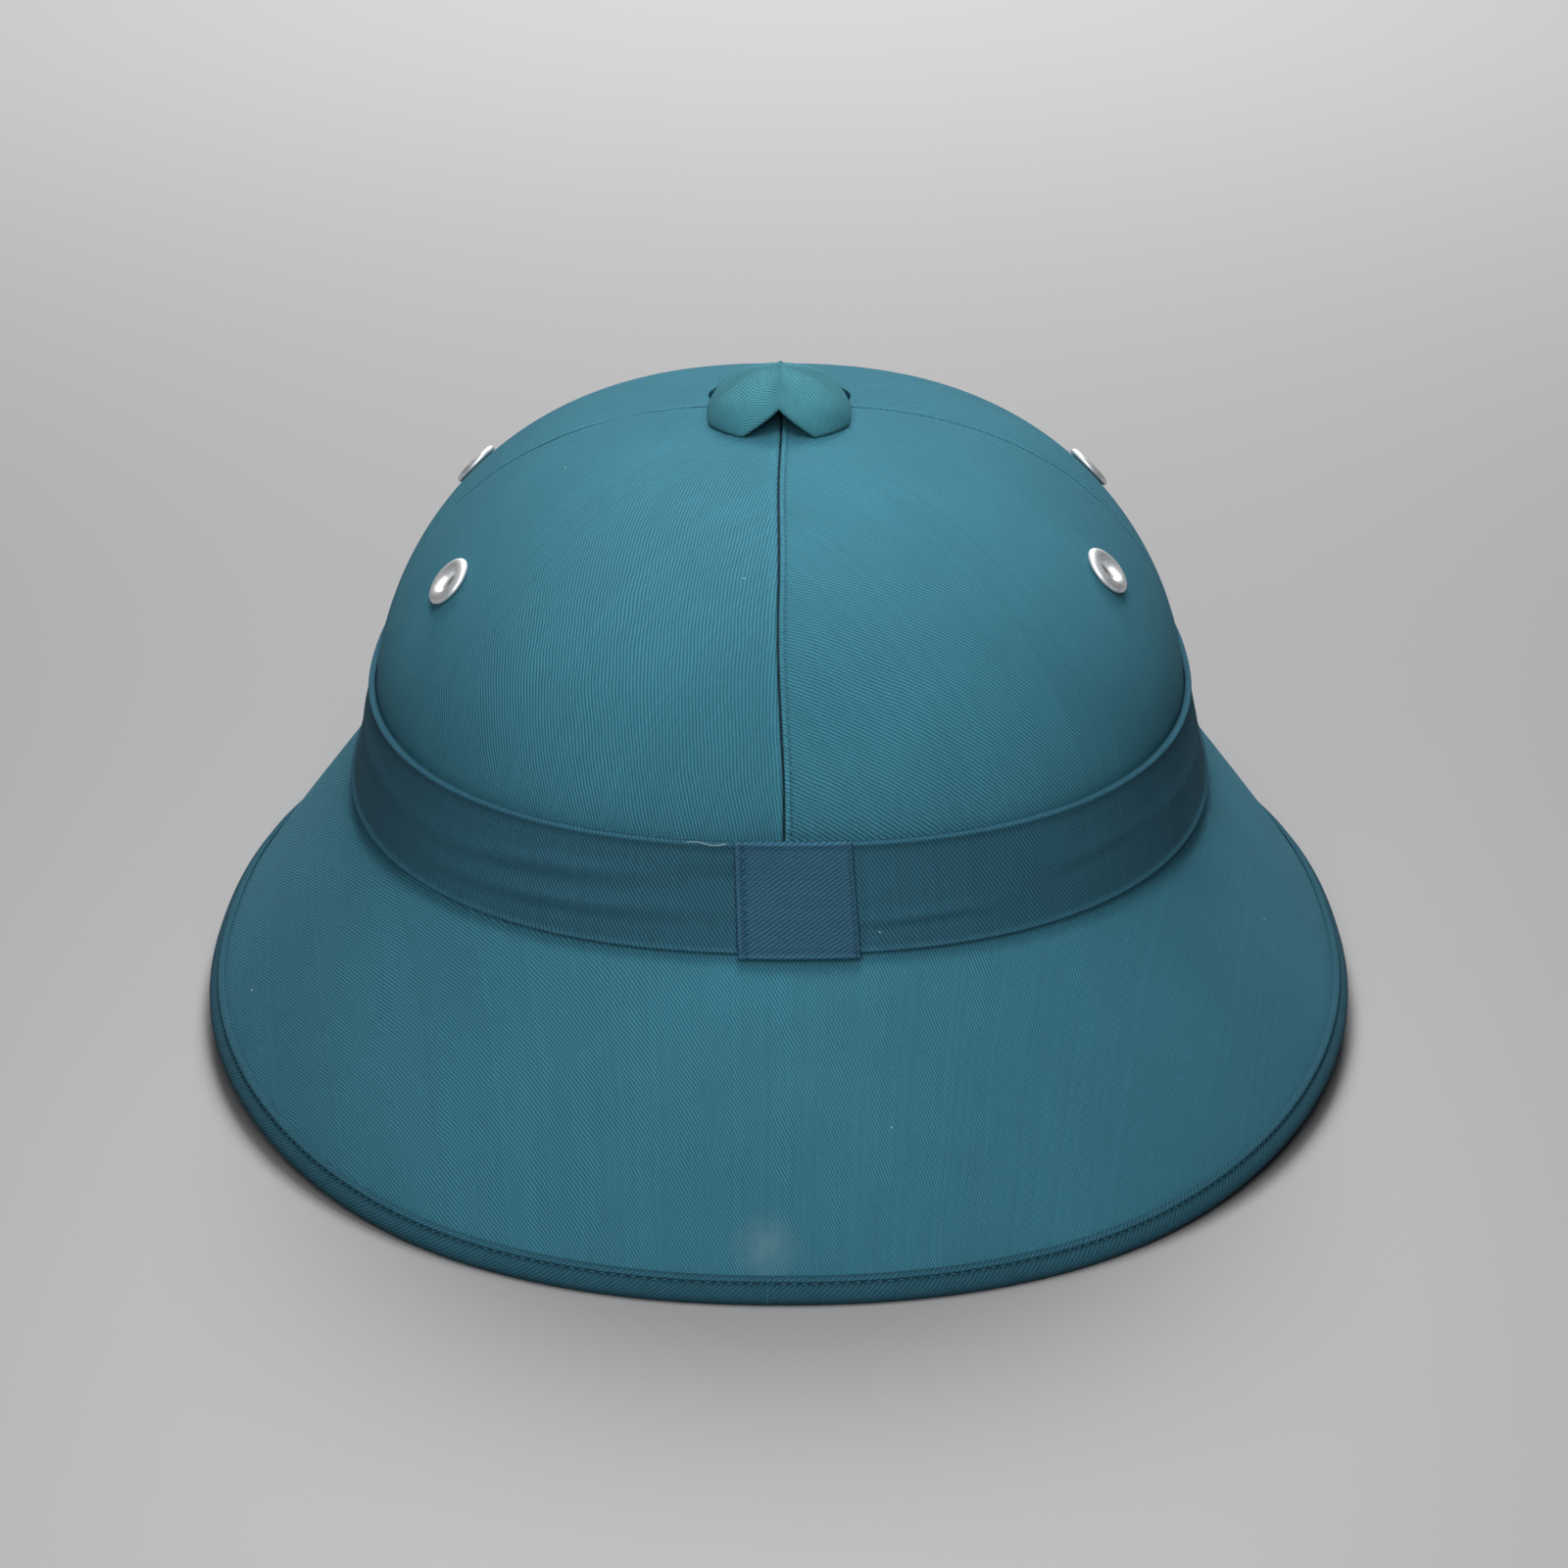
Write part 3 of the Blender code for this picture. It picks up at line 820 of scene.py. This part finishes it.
def binding_lay(u, v):
    count = len(SECTION)
    row = np.round(v * count).astype(int)
    run = np.append(SECTION_RUN, SECTION_RUN[-1] + 2 * MM)[row] / MM
    length = np.interp(u * 2 * pi, TABLE_AZIMUTHS, BRIM_ARC) / MM
    return length * cos(GRAIN_TURN) + run * sin(GRAIN_TURN), run * cos(GRAIN_TURN) - length * sin(GRAIN_TURN)


def binding_painted_light(u, v):
    """Painted highlight on the upper fold, and painted shade in the stitch line, darker towards the rolled edge and on
    the face below.
    """
    row = np.round(v * len(SECTION)).astype(int) % len(SECTION)
    lift, _, inset = SECTION[row].T / MM
    top = lift > -0.8
    ridge = 0.55 * hill(inset, 6.2, 0.3) - 0.35 * hill(inset, 5.3, 0.4)
    return np.where(top, ridge - 0.30 * (1 - smooth((inset - 0.3) / 2.6)), -0.4)


edge_binding = pattern(
    "binding_strip",
    ["edge_binding"],
    binding_twill,
    BINDING_COLUMNS,
    len(SECTION),
    binding_place,
    binding_lay,
    binding_painted_light,
    looped=True,
)

STITCH_INSET, BINDING_STITCH = 5.3 * MM, 2.2 * MM
JOIN_AZIMUTH = radians(89.6)


def binding_points(azimuth, inset, lift):
    """Places and directions of stitches on the binding's face."""
    place = hem(azimuth, lift, 0 * inset, inset)
    onward = hem(azimuth + STEP, lift, 0 * inset, inset) - place
    upward = hem(azimuth, lift, 0 * inset, inset + 0.2 * MM) - place
    return place, onward, upward, np.cross(onward, upward)


runs = np.arange(0, BRIM_ARC[-1], BINDING_STITCH)
row = np.interp(runs, BRIM_ARC, TABLE_AZIMUTHS)
places, onward, upward, out = binding_points(row, np.full_like(row, STITCH_INSET), 0.98 * MM)
stitch_row("stitches_binding", places, onward, out, 1.35 * MM, 0.32 * MM)
insets = np.arange(0.9, 6.4, 0.8) * MM
face = np.interp(insets, SECTION[17:3:-1, 2], SECTION[17:3:-1, 0])
places, onward, upward, out = binding_points(np.full_like(insets, JOIN_AZIMUTH), insets, face)
stitch_row("stitches_binding_join", places, upward, out, 0.62 * MM, 0.30 * MM)

# %% [markdown]
# ## The band and its patch
#
# The band is a strip with both its edges folded in, pulled tight round the foot of the crown. Its two
# folds are round and stand a little off the cloth, and the strip between them sinks. Slack shows as
# shallow creases that run along it.

# %% Hat band
BAND_COLUMNS = 600
BAND_LOW, BAND_HIGH = 1.02, 1.995
BAND_ROWS = np.array([0, 0.12, 0.3, 0.55, 0.85, 1.2, 1.6, 2.1, 2.8, 3.6, 4.4, 5.2, 6.0, 6.8, 7.6, 8.6, 9.8, 11, 11.8])
ACROSS = np.concatenate([BAND_ROWS, 23.6 - BAND_ROWS[-2::-1]]) / 23.6
BAND_CREASES = (
    (-8, 12, 17.0, 0.06, 1.5, -0.28),
    (-26, 14, 15.5, 0.10, 1.5, 0.38),
    (-30, 12, 12.2, 0.12, 1.3, -0.34),
    (-24, 17, 8.6, 0.10, 1.4, 0.30),
    (-27, 18, 5.6, 0.05, 1.2, -0.30),
    (17, 11, 5.6, 0.02, 0.8, -0.34),
    (20, 15, 7.4, 0.10, 1.2, 0.26),
    (38, 14, 9.6, 0.15, 1.2, -0.26),
    (60, 20, 12.0, -0.05, 2.0, 0.25),
    (-70, 22, 15.0, -0.06, 2.2, 0.28),
    (130, 26, 11.0, 0.04, 2.0, 0.28),
    (-140, 24, 8.0, 0.05, 1.8, 0.26),
    (178, 18, 15.0, 0.08, 1.8, 0.25),
)


def degrees_off_back(azimuth):
    """Degrees from the middle of the back, positive towards the wearer's right."""
    return (np.degrees(azimuth) - 90 + 180) % 360 - 180


def band_creases(azimuth, across):
    """Shallow ridges and valleys along the band, in millimetres of lift."""
    side = degrees_off_back(azimuth)
    height = across * BAND_HEIGHT / MM
    relief = 0
    for middle, reach, level, tilt, width, lift in BAND_CREASES:
        along = np.exp(-(((side - middle) / reach) ** 2))
        centre = level + tilt * (side - middle)
        relief = relief + lift * along * np.exp(-(((height - centre) / width) ** 2))
    return relief


def folded_face(near, thick, fold):
    """The lift of a strip's face over its back, from the distance to its nearest folded edge in mm."""
    round_edge = np.sqrt(np.clip(1 - (1 - np.clip(near / 0.6, 0, 1)) ** 2, 0, 1))
    return round_edge * (thick + fold * np.exp(-(((near - 0.7) / 0.55) ** 2)) - 0.18 * fold * smooth(near / 3))


def band_place(u, v, depth):
    azimuth = u * 2 * pi
    across = ACROSS[np.round(v * (len(ACROSS) - 1)).astype(int)]
    near = np.minimum(across, 1 - across) * BAND_HEIGHT / MM
    fold = np.where(across < 0.5, 0.66, 0.42)
    inside = smooth(near / 2)
    face = folded_face(near, 1.0, fold) + band_creases(azimuth, across) * inside
    lift = GAP + np.where(depth > 0.5, 0, face) * MM
    return skin(BAND_LOW + (BAND_HIGH - BAND_LOW) * across, azimuth, lift)


def band_painted_light(u, v):
    across = ACROSS[np.round(v * (len(ACROSS) - 1)).astype(int)]
    near = np.minimum(across, 1 - across) * BAND_HEIGHT / MM
    # Painted highlight on the two folded edges and painted shade just inside them; the creases are painted lighter on
    # their ridges and darker in their valleys.
    wear_and_highlight = np.where(across < 0.5, 0.26, 0.20) * hill(near, 0.5, 0.4) - 0.10 * hill(near, 1.7, 0.6)
    return wear_and_highlight + 0.45 * band_creases(u * 2 * pi, across) * smooth(near / 2)


def band_lay(u, v):
    across = ACROSS[np.round(v * (len(ACROSS) - 1)).astype(int)]
    return np.interp(u * 2 * pi, TABLE_AZIMUTHS, FOOT_ARC) / MM, across * BAND_HEIGHT / MM


hat_band = pattern(
    "band_strip",
    ["hat_band"],
    band_twill,
    BAND_COLUMNS,
    len(ACROSS) - 1,
    band_place,
    band_lay,
    band_painted_light,
    closed=True,
)

# %% [markdown]
# The patch is a rectangle of the same cloth with its edges turned in, set with its grain across the
# band's. It covers the band's join, and it is sewn down its two sides.

# %% Band patch
PATCH_LEFT, PATCH_RIGHT = 9.1, -16.3
PATCH_WIDTH = PATCH_LEFT - PATCH_RIGHT
PATCH_SKEW = 1.3
PATCH_STITCH = 2.1
PATCH_STATIONS = (0.985, 2.012)
PATCH_HEIGHT = BAND_HEIGHT / MM * (PATCH_STATIONS[1] - PATCH_STATIONS[0])
PATCH_NEAR = np.array([0, 0.1, 0.25, 0.45, 0.7, 1.0, 1.4, 1.8, 2.1, 2.5, 3.0])
PATCH_COLUMNS = np.concatenate([PATCH_NEAR, np.linspace(4, PATCH_WIDTH - 4, 24), PATCH_WIDTH - PATCH_NEAR[::-1]]) / PATCH_WIDTH
PATCH_ROWS = np.concatenate([PATCH_NEAR, np.linspace(4, PATCH_HEIGHT - 4, 22), PATCH_HEIGHT - PATCH_NEAR[::-1]])
PATCH_ROWS = PATCH_ROWS / PATCH_HEIGHT
PATCH_FLOOR = 1.55


def patch_spot(across, height, lift):
    """A point on the patch, by its share across, its share up and its lift in millimetres."""
    x = PATCH_LEFT + (PATCH_RIGHT - PATCH_LEFT) * across - PATCH_SKEW * (1 - height)
    station = PATCH_STATIONS[0] + (PATCH_STATIONS[1] - PATCH_STATIONS[0]) * height
    place, round_it, up, out = skin_frame(np.clip(station, 1, 1.999), QUARTER - x * MM / (FOOT_WIDTH / 2))
    beyond = (station - np.clip(station, 1, 1.999)) * BAND_HEIGHT
    return place + up * beyond[..., None] + out * np.asarray(lift * MM)[..., None], round_it, up, out


def patch_place(u, v, depth):
    across = PATCH_COLUMNS[np.round(u * (len(PATCH_COLUMNS) - 1)).astype(int)]
    height = PATCH_ROWS[np.round(v * (len(PATCH_ROWS) - 1)).astype(int)]
    from_left, from_right = across * PATCH_WIDTH, (1 - across) * PATCH_WIDTH
    from_edge = np.minimum(np.minimum(from_left, from_right), np.minimum(height, 1 - height) * PATCH_HEIGHT)
    face = folded_face(from_edge, 1.15, 0.45)
    left_groove = 0.42 * np.exp(-(((from_left - 2.0) / 0.32) ** 2))
    right_groove = 0.30 * np.exp(-(((from_right - 1.0) / 0.28) ** 2))
    belly = 0.16 * np.sin(pi * across) * np.sin(pi * height) + 0.10 * np.sin(7 * height + 3 * across) * (height > 0.1)
    face = face - (left_groove + right_groove) * smooth(from_edge / 0.6) + belly * smooth(from_edge / 3)
    lift = np.where(depth > 0.5, PATCH_FLOOR, PATCH_FLOOR + face)
    return patch_spot(across, height, lift)[0]


def patch_painted_light(u, v):
    across = PATCH_COLUMNS[np.round(u * (len(PATCH_COLUMNS) - 1)).astype(int)]
    height = PATCH_ROWS[np.round(v * (len(PATCH_ROWS) - 1)).astype(int)]
    from_left, from_right = across * PATCH_WIDTH, (1 - across) * PATCH_WIDTH
    from_low, from_top = height * PATCH_HEIGHT, (1 - height) * PATCH_HEIGHT
    # Painted highlight on the turned-in edges; painted shade along both stitch rows, darkest at each needle hole,
    # inside the left edge and above the lower fold.
    folds = 0.26 * hill(from_low, 0.6, 0.4) + 0.22 * hill(from_top, 0.5, 0.4)
    folds = folds + 0.20 * hill(from_left, 0.6, 0.35) + 0.10 * hill(from_right, 0.4, 0.3)
    holes = 0.3 + 0.7 * (1 - repeat(from_low, PATCH_STITCH))
    rows = 0.34 * hill(from_left, 2.0, 0.3) + 0.44 * hill(from_right, 1.0, 0.3)
    return folds - rows * holes - 0.10 * hill(from_left, 1.4, 0.5) - 0.14 * hill(from_low, 1.6, 0.4)


def patch_lay(u, v):
    across = PATCH_COLUMNS[np.round(u * (len(PATCH_COLUMNS) - 1)).astype(int)]
    height = PATCH_ROWS[np.round(v * (len(PATCH_ROWS) - 1)).astype(int)]
    return -PATCH_HEIGHT * height, PATCH_WIDTH * across


band_patch = pattern(
    "band_patch",
    ["band_tab"],
    patch_twill,
    len(PATCH_COLUMNS) - 1,
    len(PATCH_ROWS) - 1,
    patch_place,
    patch_lay,
    patch_painted_light,
)

for word, inset in (("left", 2.0), ("right", PATCH_WIDTH - 1.0)):
    heights = np.arange(PATCH_STITCH, PATCH_HEIGHT - 1.2, PATCH_STITCH) / PATCH_HEIGHT
    across = np.full_like(heights, inset / PATCH_WIDTH)
    places, round_it, up, out = patch_spot(across, heights, np.full_like(heights, PATCH_FLOOR + 0.90))
    stitch_row(f"stitches_patch_{word}", places, up, out, 1.15 * MM, 0.32 * MM)

# %% [markdown]
# ## The ventilator cap
#
# A small puffed dome sits over the vent hole on four lobes. Between them its rim arches up over the
# crown's seams and lets the air out. The cloth is gathered to a tiny knot on top.

# %% Ventilator cap
CAP_SIDE, CAP_REACH, CAP_HEIGHT = 17.4 * MM, 18.9 * MM, 10.6 * MM
CAP_LEFT, CAP_BACK = 0.4 * MM, 6.0 * MM
CAP_RIM_ROUND, CAP_TOP_ROUND = 2.0, 1.8
NOTCH_HALF_ANGLE, NOTCH_DEPTH = radians(27), 0.41
KNOT_HEIGHT, KNOT_RADIUS = 0.8 * MM, 1.0
CAP_COLUMNS = 240
CAP_SHARES = np.concatenate([[0, 0.012, 0.024], np.linspace(0.04, 0.9, 36), [0.93, 0.955, 0.975, 0.99, 1.0, 1.0]])
CAP_SINKS = np.concatenate([np.zeros(39), [0.0, 0.02, 0.10, 0.30, 0.62, 1.0]])
CAP_WALL = 1.3 * MM


def crown_top_height(reach):
    """The height of the crown's cloth at a distance from its axis."""
    return np.interp(reach, TOP_REACHES, TOP_HEIGHTS)


TOP_LINE = skin(np.linspace(2.999, 2.6, 120), 0.8, 0)
TOP_REACHES, TOP_HEIGHTS = np.linalg.norm(TOP_LINE[:, :2], axis=-1), TOP_LINE[:, 2]


def cap_point(share, azimuth, wall):
    """A place on the cap: share 0 is its top and 1 its rim, which stands on the crown in four lobes."""
    off_seam = abs((azimuth + QUARTER / 2) % QUARTER - QUARTER / 2)
    arch = np.clip(1 - off_seam / NOTCH_HALF_ANGLE, 0, 1) ** 0.85
    turn = share * (1 - NOTCH_DEPTH * arch) * QUARTER
    lobe = 1 + 0.035 * np.sin(pi * share) * np.cos(4 * azimuth + pi) + 0.03 * share**6
    out = np.sin(turn) ** (2 / CAP_RIM_ROUND) * lobe
    up = (CAP_HEIGHT - wall) * np.maximum(np.cos(turn), 0) ** (2 / CAP_TOP_ROUND)
    x = CAP_LEFT + (CAP_SIDE - wall) * out * np.cos(azimuth)
    y = CAP_BACK + (CAP_REACH - wall) * out * np.sin(azimuth)
    puff = 0.5 * MM * hill(share, 0.72, 0.18) * np.cos(4 * azimuth + pi)
    knot = KNOT_HEIGHT * hill(share * CAP_SIDE / MM, 0, KNOT_RADIUS) * (wall < 0.5 * CAP_WALL)
    settle = (crown_top_height(np.hypot(x, y)) - APEX + 0.15 * MM) * share**3
    return points(x, y, APEX + up + puff + knot + settle)


def cap_place(u, v, depth):
    row = np.round((1 - v) * (len(CAP_SHARES) - 1)).astype(int)
    wall = np.where(depth > 0.5, CAP_WALL, CAP_SINKS[row] * 0.5 * CAP_WALL)
    return cap_point(CAP_SHARES[row], u * 2 * pi, wall)


def cap_lay(u, v):
    row = np.round((1 - v) * (len(CAP_SHARES) - 1)).astype(int)
    reach = CAP_SHARES[row] * 25
    return -reach * np.cos(u * 2 * pi), -reach * np.sin(u * 2 * pi)


def cap_painted_light(u, v):
    row = np.round((1 - v) * (len(CAP_SHARES) - 1)).astype(int)
    # Painted highlight round the puffed shoulder and painted shade along the rim, where it meets the crown.
    return 0.10 * hill(CAP_SHARES[row], 0.70, 0.2) - 0.25 * hill(CAP_SHARES[row], 1.0, 0.05)


cap = pattern(
    "vent_cap",
    ["ventilator_cap"],
    cap_twill,
    CAP_COLUMNS,
    len(CAP_SHARES) - 1,
    cap_place,
    cap_lay,
    cap_painted_light,
    closed=True,
)

# %% [markdown]
# ## Eyelets
#
# An eyelet is stamped from sheet aluminium: a rounded flange that rolls over into a short throat, and a
# tube that is spread into a second, flat flange inside the shell. It is a turned shape, so its section is
# drawn once and spun. The throat is narrower than the tube, which leaves the tube's wall in shadow.

# %% Eyelets
EYELET_SECTION = (
    (3.0, -4.2), (5.2, -4.2), (5.5, -3.9), (5.2, -3.6), (3.2, -3.5), (3.2, 0.1), (5.3, 0.1), (5.8, 0.25),
    (6.0, 0.6), (5.9, 1.0), (5.6, 1.35), (5.1, 1.65), (4.5, 1.8), (3.9, 1.75), (3.3, 1.5), (2.8, 1.05),
    (2.45, 0.4), (2.3, -0.3), (2.45, -0.9), (3.0, -1.2),
)


def eyelet(side, azimuth, station):
    place, _, _, out = skin_frame(station, azimuth)
    bm = bmesh.new()
    ring = [bm.verts.new((reach * MM, 0, rise * MM)) for reach, rise in EYELET_SECTION]
    loop = [bm.edges.new(pair) for pair in zip(ring, ring[1:] + ring[:1])]
    bmesh.ops.spin(
        bm, geom=ring + loop, cent=(0, 0, 0), axis=(0, 0, 1), angle=2 * pi, steps=48, use_merge=True, dvec=(0, 0, 0)
    )
    turn = Vector(out).to_track_quat("Z", "Y").to_matrix().to_4x4()
    bmesh.ops.transform(bm, matrix=Matrix.Translation(place) @ turn, verts=bm.verts)
    bmesh.ops.remove_doubles(bm, verts=bm.verts, dist=1e-6)
    bmesh.ops.recalc_face_normals(bm, faces=bm.faces)
    return finish_piece(bm, f"vent_eyelet_{side}", [f"eyelet_{side}"], aluminium)


eyelets = [eyelet(*row) for row in EYELET_PLACES]

# %% [markdown]
# ## The shell
#
# Pressed pulp, two millimetres thick, under everything.

# %% Shell
SHELL_OUT, SHELL_IN = -1.3 * MM, -3.3 * MM


SHELL_LOW, SHELL_HIGH = 0.065, 2.982


def shell_place(u, v, depth):
    station = SHELL_LOW + (SHELL_HIGH - SHELL_LOW) * v
    return skin(station, u * 2 * pi, SHELL_OUT + (SHELL_IN - SHELL_OUT) * depth)


shell = pattern(
    "moulded_shell",
    ["shell"],
    pulp,
    240,
    110,
    shell_place,
    lambda u, v: (u * 600, v * 200),
    closed=True,
    holes=EYELET_HOLES.values(),
)

# %% [markdown]
# ## Lint and a stray thread
#
# Dark cotton shows every bit of fluff. A few specks lie where they caught on the cloth, and the end of a
# pale thread sticks out along the band's upper fold. They are made as the stitches are.

# %% Lint
LINT_PLACES = ((2.584, 83.6, 0.1), (2.706, 22.5, 0.1), (0.262, 22.6, 0.1), (0.572, 159.4, 0.1), (0.524, 101.7, 0.1), (1.2, 102.5, 1.4))
station, azimuth, lift = np.array(LINT_PLACES).T
place, round_it, up, out = skin_frame(station, np.radians(azimuth))
turn = np.arange(len(LINT_PLACES))[:, None] * 1.1
specks = stitch_row(
    "lint_specks",
    place + out * lift[:, None] * MM,
    round_it * np.cos(turn) + up * np.sin(turn),
    out,
    0.75 * MM,
    0.32 * MM,
    lint_finish,
)
share = np.linspace(0, 1, 13)
station = 1.979 - 0.011 * share
azimuth = np.radians(79.1 + 4.5 * share)
place, round_it, up, out = skin_frame(station, azimuth)
wave = 0.25 * np.sin(7 * share)[:, None]
stray_thread = stitch_row(
    "stray_thread", place + (out * 1.75 + up * wave) * MM, round_it, out, 0.95 * MM, 0.20 * MM, lint_finish
)

# %% [markdown]
# ## The cloth's cut sizes
#
# Each piece was cut flat and then stretched or folded, and the size that it was cut to is worked out. The UV
# map is that flat pattern in millimetres, and a folded edge adds its hem, but the printed sizes leave it out.

BAND_HEM, PATCH_HEM = 3.0 * MM, 2.0 * MM


def cut_size(piece, hem=0.0, ends=0.0):
    """The flat pattern's width and length in metres, from its UV map."""
    layer = piece.data.uv_layers["cloth"].uv
    flat = np.empty(2 * len(layer))
    layer.foreach_get("vector", flat)
    width, length = np.ptp(flat.reshape(-1, 2), axis=0) * MM
    return float(width) + 2 * ends, float(length) + 2 * hem


def cloth_area(piece):
    """Half of a piece's surface, because cloth has two faces."""
    return sum(face.area for face in piece.data.polygons) / 2


for piece in gores:
    cut_size(piece)
cut_size(brim_cover)
cut_size(cap)
cut_size(hat_band, hem=BAND_HEM, ends=4 * MM)
cut_size(band_patch, hem=PATCH_HEM, ends=PATCH_HEM)
for piece in [*gores, brim_cover, cap, hat_band, band_patch]:
    print(piece.name, "pattern in mm", [round(side / MM) for side in cut_size(piece)], "area in cm2", round(cloth_area(piece) * 1e4))

# %% [markdown]
# ## Floor, light and camera
#
# The floor is plain and pale. Small soft lamps stand close above and behind the helmet, so the cloth is
# bright at the back and falls off quickly to the sides, and a wide lamp lights the far floor. The camera
# looks down at the back from about 23 degrees.

# %% Stage
bm = bmesh.new()
bmesh.ops.create_grid(bm, x_segments=1, y_segments=1, size=6)
floor_mesh = bpy.data.meshes.new("floor")
bm.to_mesh(floor_mesh)
bm.free()
floor = bpy.data.objects.new("floor", floor_mesh)
bpy.context.scene.collection.objects.link(floor)
floor_recipe = Recipe("pale_floor")
floor_mesh.materials.append(floor_recipe.surface(Base_Color=(0.36, 0.36, 0.365, 1), Roughness=0.7))


def soft_light(name, place, target, size, power):
    light = bpy.data.lights.new(name, "AREA")
    light.shape = "DISK"
    light.size = size
    light.energy = power
    lamp = bpy.data.objects.new(name, light)
    bpy.context.scene.collection.objects.link(lamp)
    lamp.visible_camera = False
    away = Vector(place) - Vector(target)
    lamp.matrix_world = Matrix.Translation(place) @ away.to_track_quat("Z", "Y").to_matrix().to_4x4()
    return lamp


def lamp_place(azimuth, elevation, distance):
    """A place round the helmet, where azimuth 90 is straight behind it, on the camera's side."""
    turn, rise = radians(azimuth), radians(elevation)
    away = Vector((cos(turn) * cos(rise), sin(turn) * cos(rise), sin(rise)))
    return LIT + away * distance


LIT = Vector((0, 0.03, 0.07))
soft_light("low_key", lamp_place(84, 30, 0.5), LIT, 0.25, 0.96)
soft_light("high_key", lamp_place(84, 70, 0.36), LIT, 0.15, 0.42)
soft_light("top_light", lamp_place(84, 88, 0.5), LIT, 0.20, 0.41)
soft_light("right_light", lamp_place(105, 50, 0.5), LIT, 0.25, 0.28)
soft_light("far_floor", (0.0, -1.5, 1.5), (0, -1.3, 0), 1.2, 50)
world = bpy.data.worlds.new("studio")
bpy.context.scene.world = world
world.use_nodes = True
world.node_tree.nodes["Background"].inputs["Color"].default_value = (0.72, 0.80, 0.92, 1)
world.node_tree.nodes["Background"].inputs["Strength"].default_value = 0.03
bpy.context.scene.view_settings.view_transform = "Standard"

# %% Camera
TARGET = Vector((0, 0, 0.054))
CAMERA_DISTANCE = 0.8185
CAMERA_HEIGHT_ANGLE = radians(22.65)
camera_data = bpy.data.cameras.new("camera")
camera_data.lens = 78.75
camera_data.sensor_width = 36
camera = bpy.data.objects.new("camera", camera_data)
bpy.context.scene.collection.objects.link(camera)
camera.matrix_world = (
    Matrix.Translation(TARGET)
    @ Matrix.Rotation(radians(180.5), 4, "Z")
    @ Matrix.Rotation(radians(-0.15), 4, "Y")
    @ Matrix.Rotation(radians(90) - CAMERA_HEIGHT_ANGLE, 4, "X")
    @ Matrix.Translation((0, 0, CAMERA_DISTANCE))
    @ Matrix.Rotation(radians(-0.712), 4, "X")
    @ Matrix.Rotation(radians(-0.062), 4, "Y")
)
bpy.context.scene.camera = camera
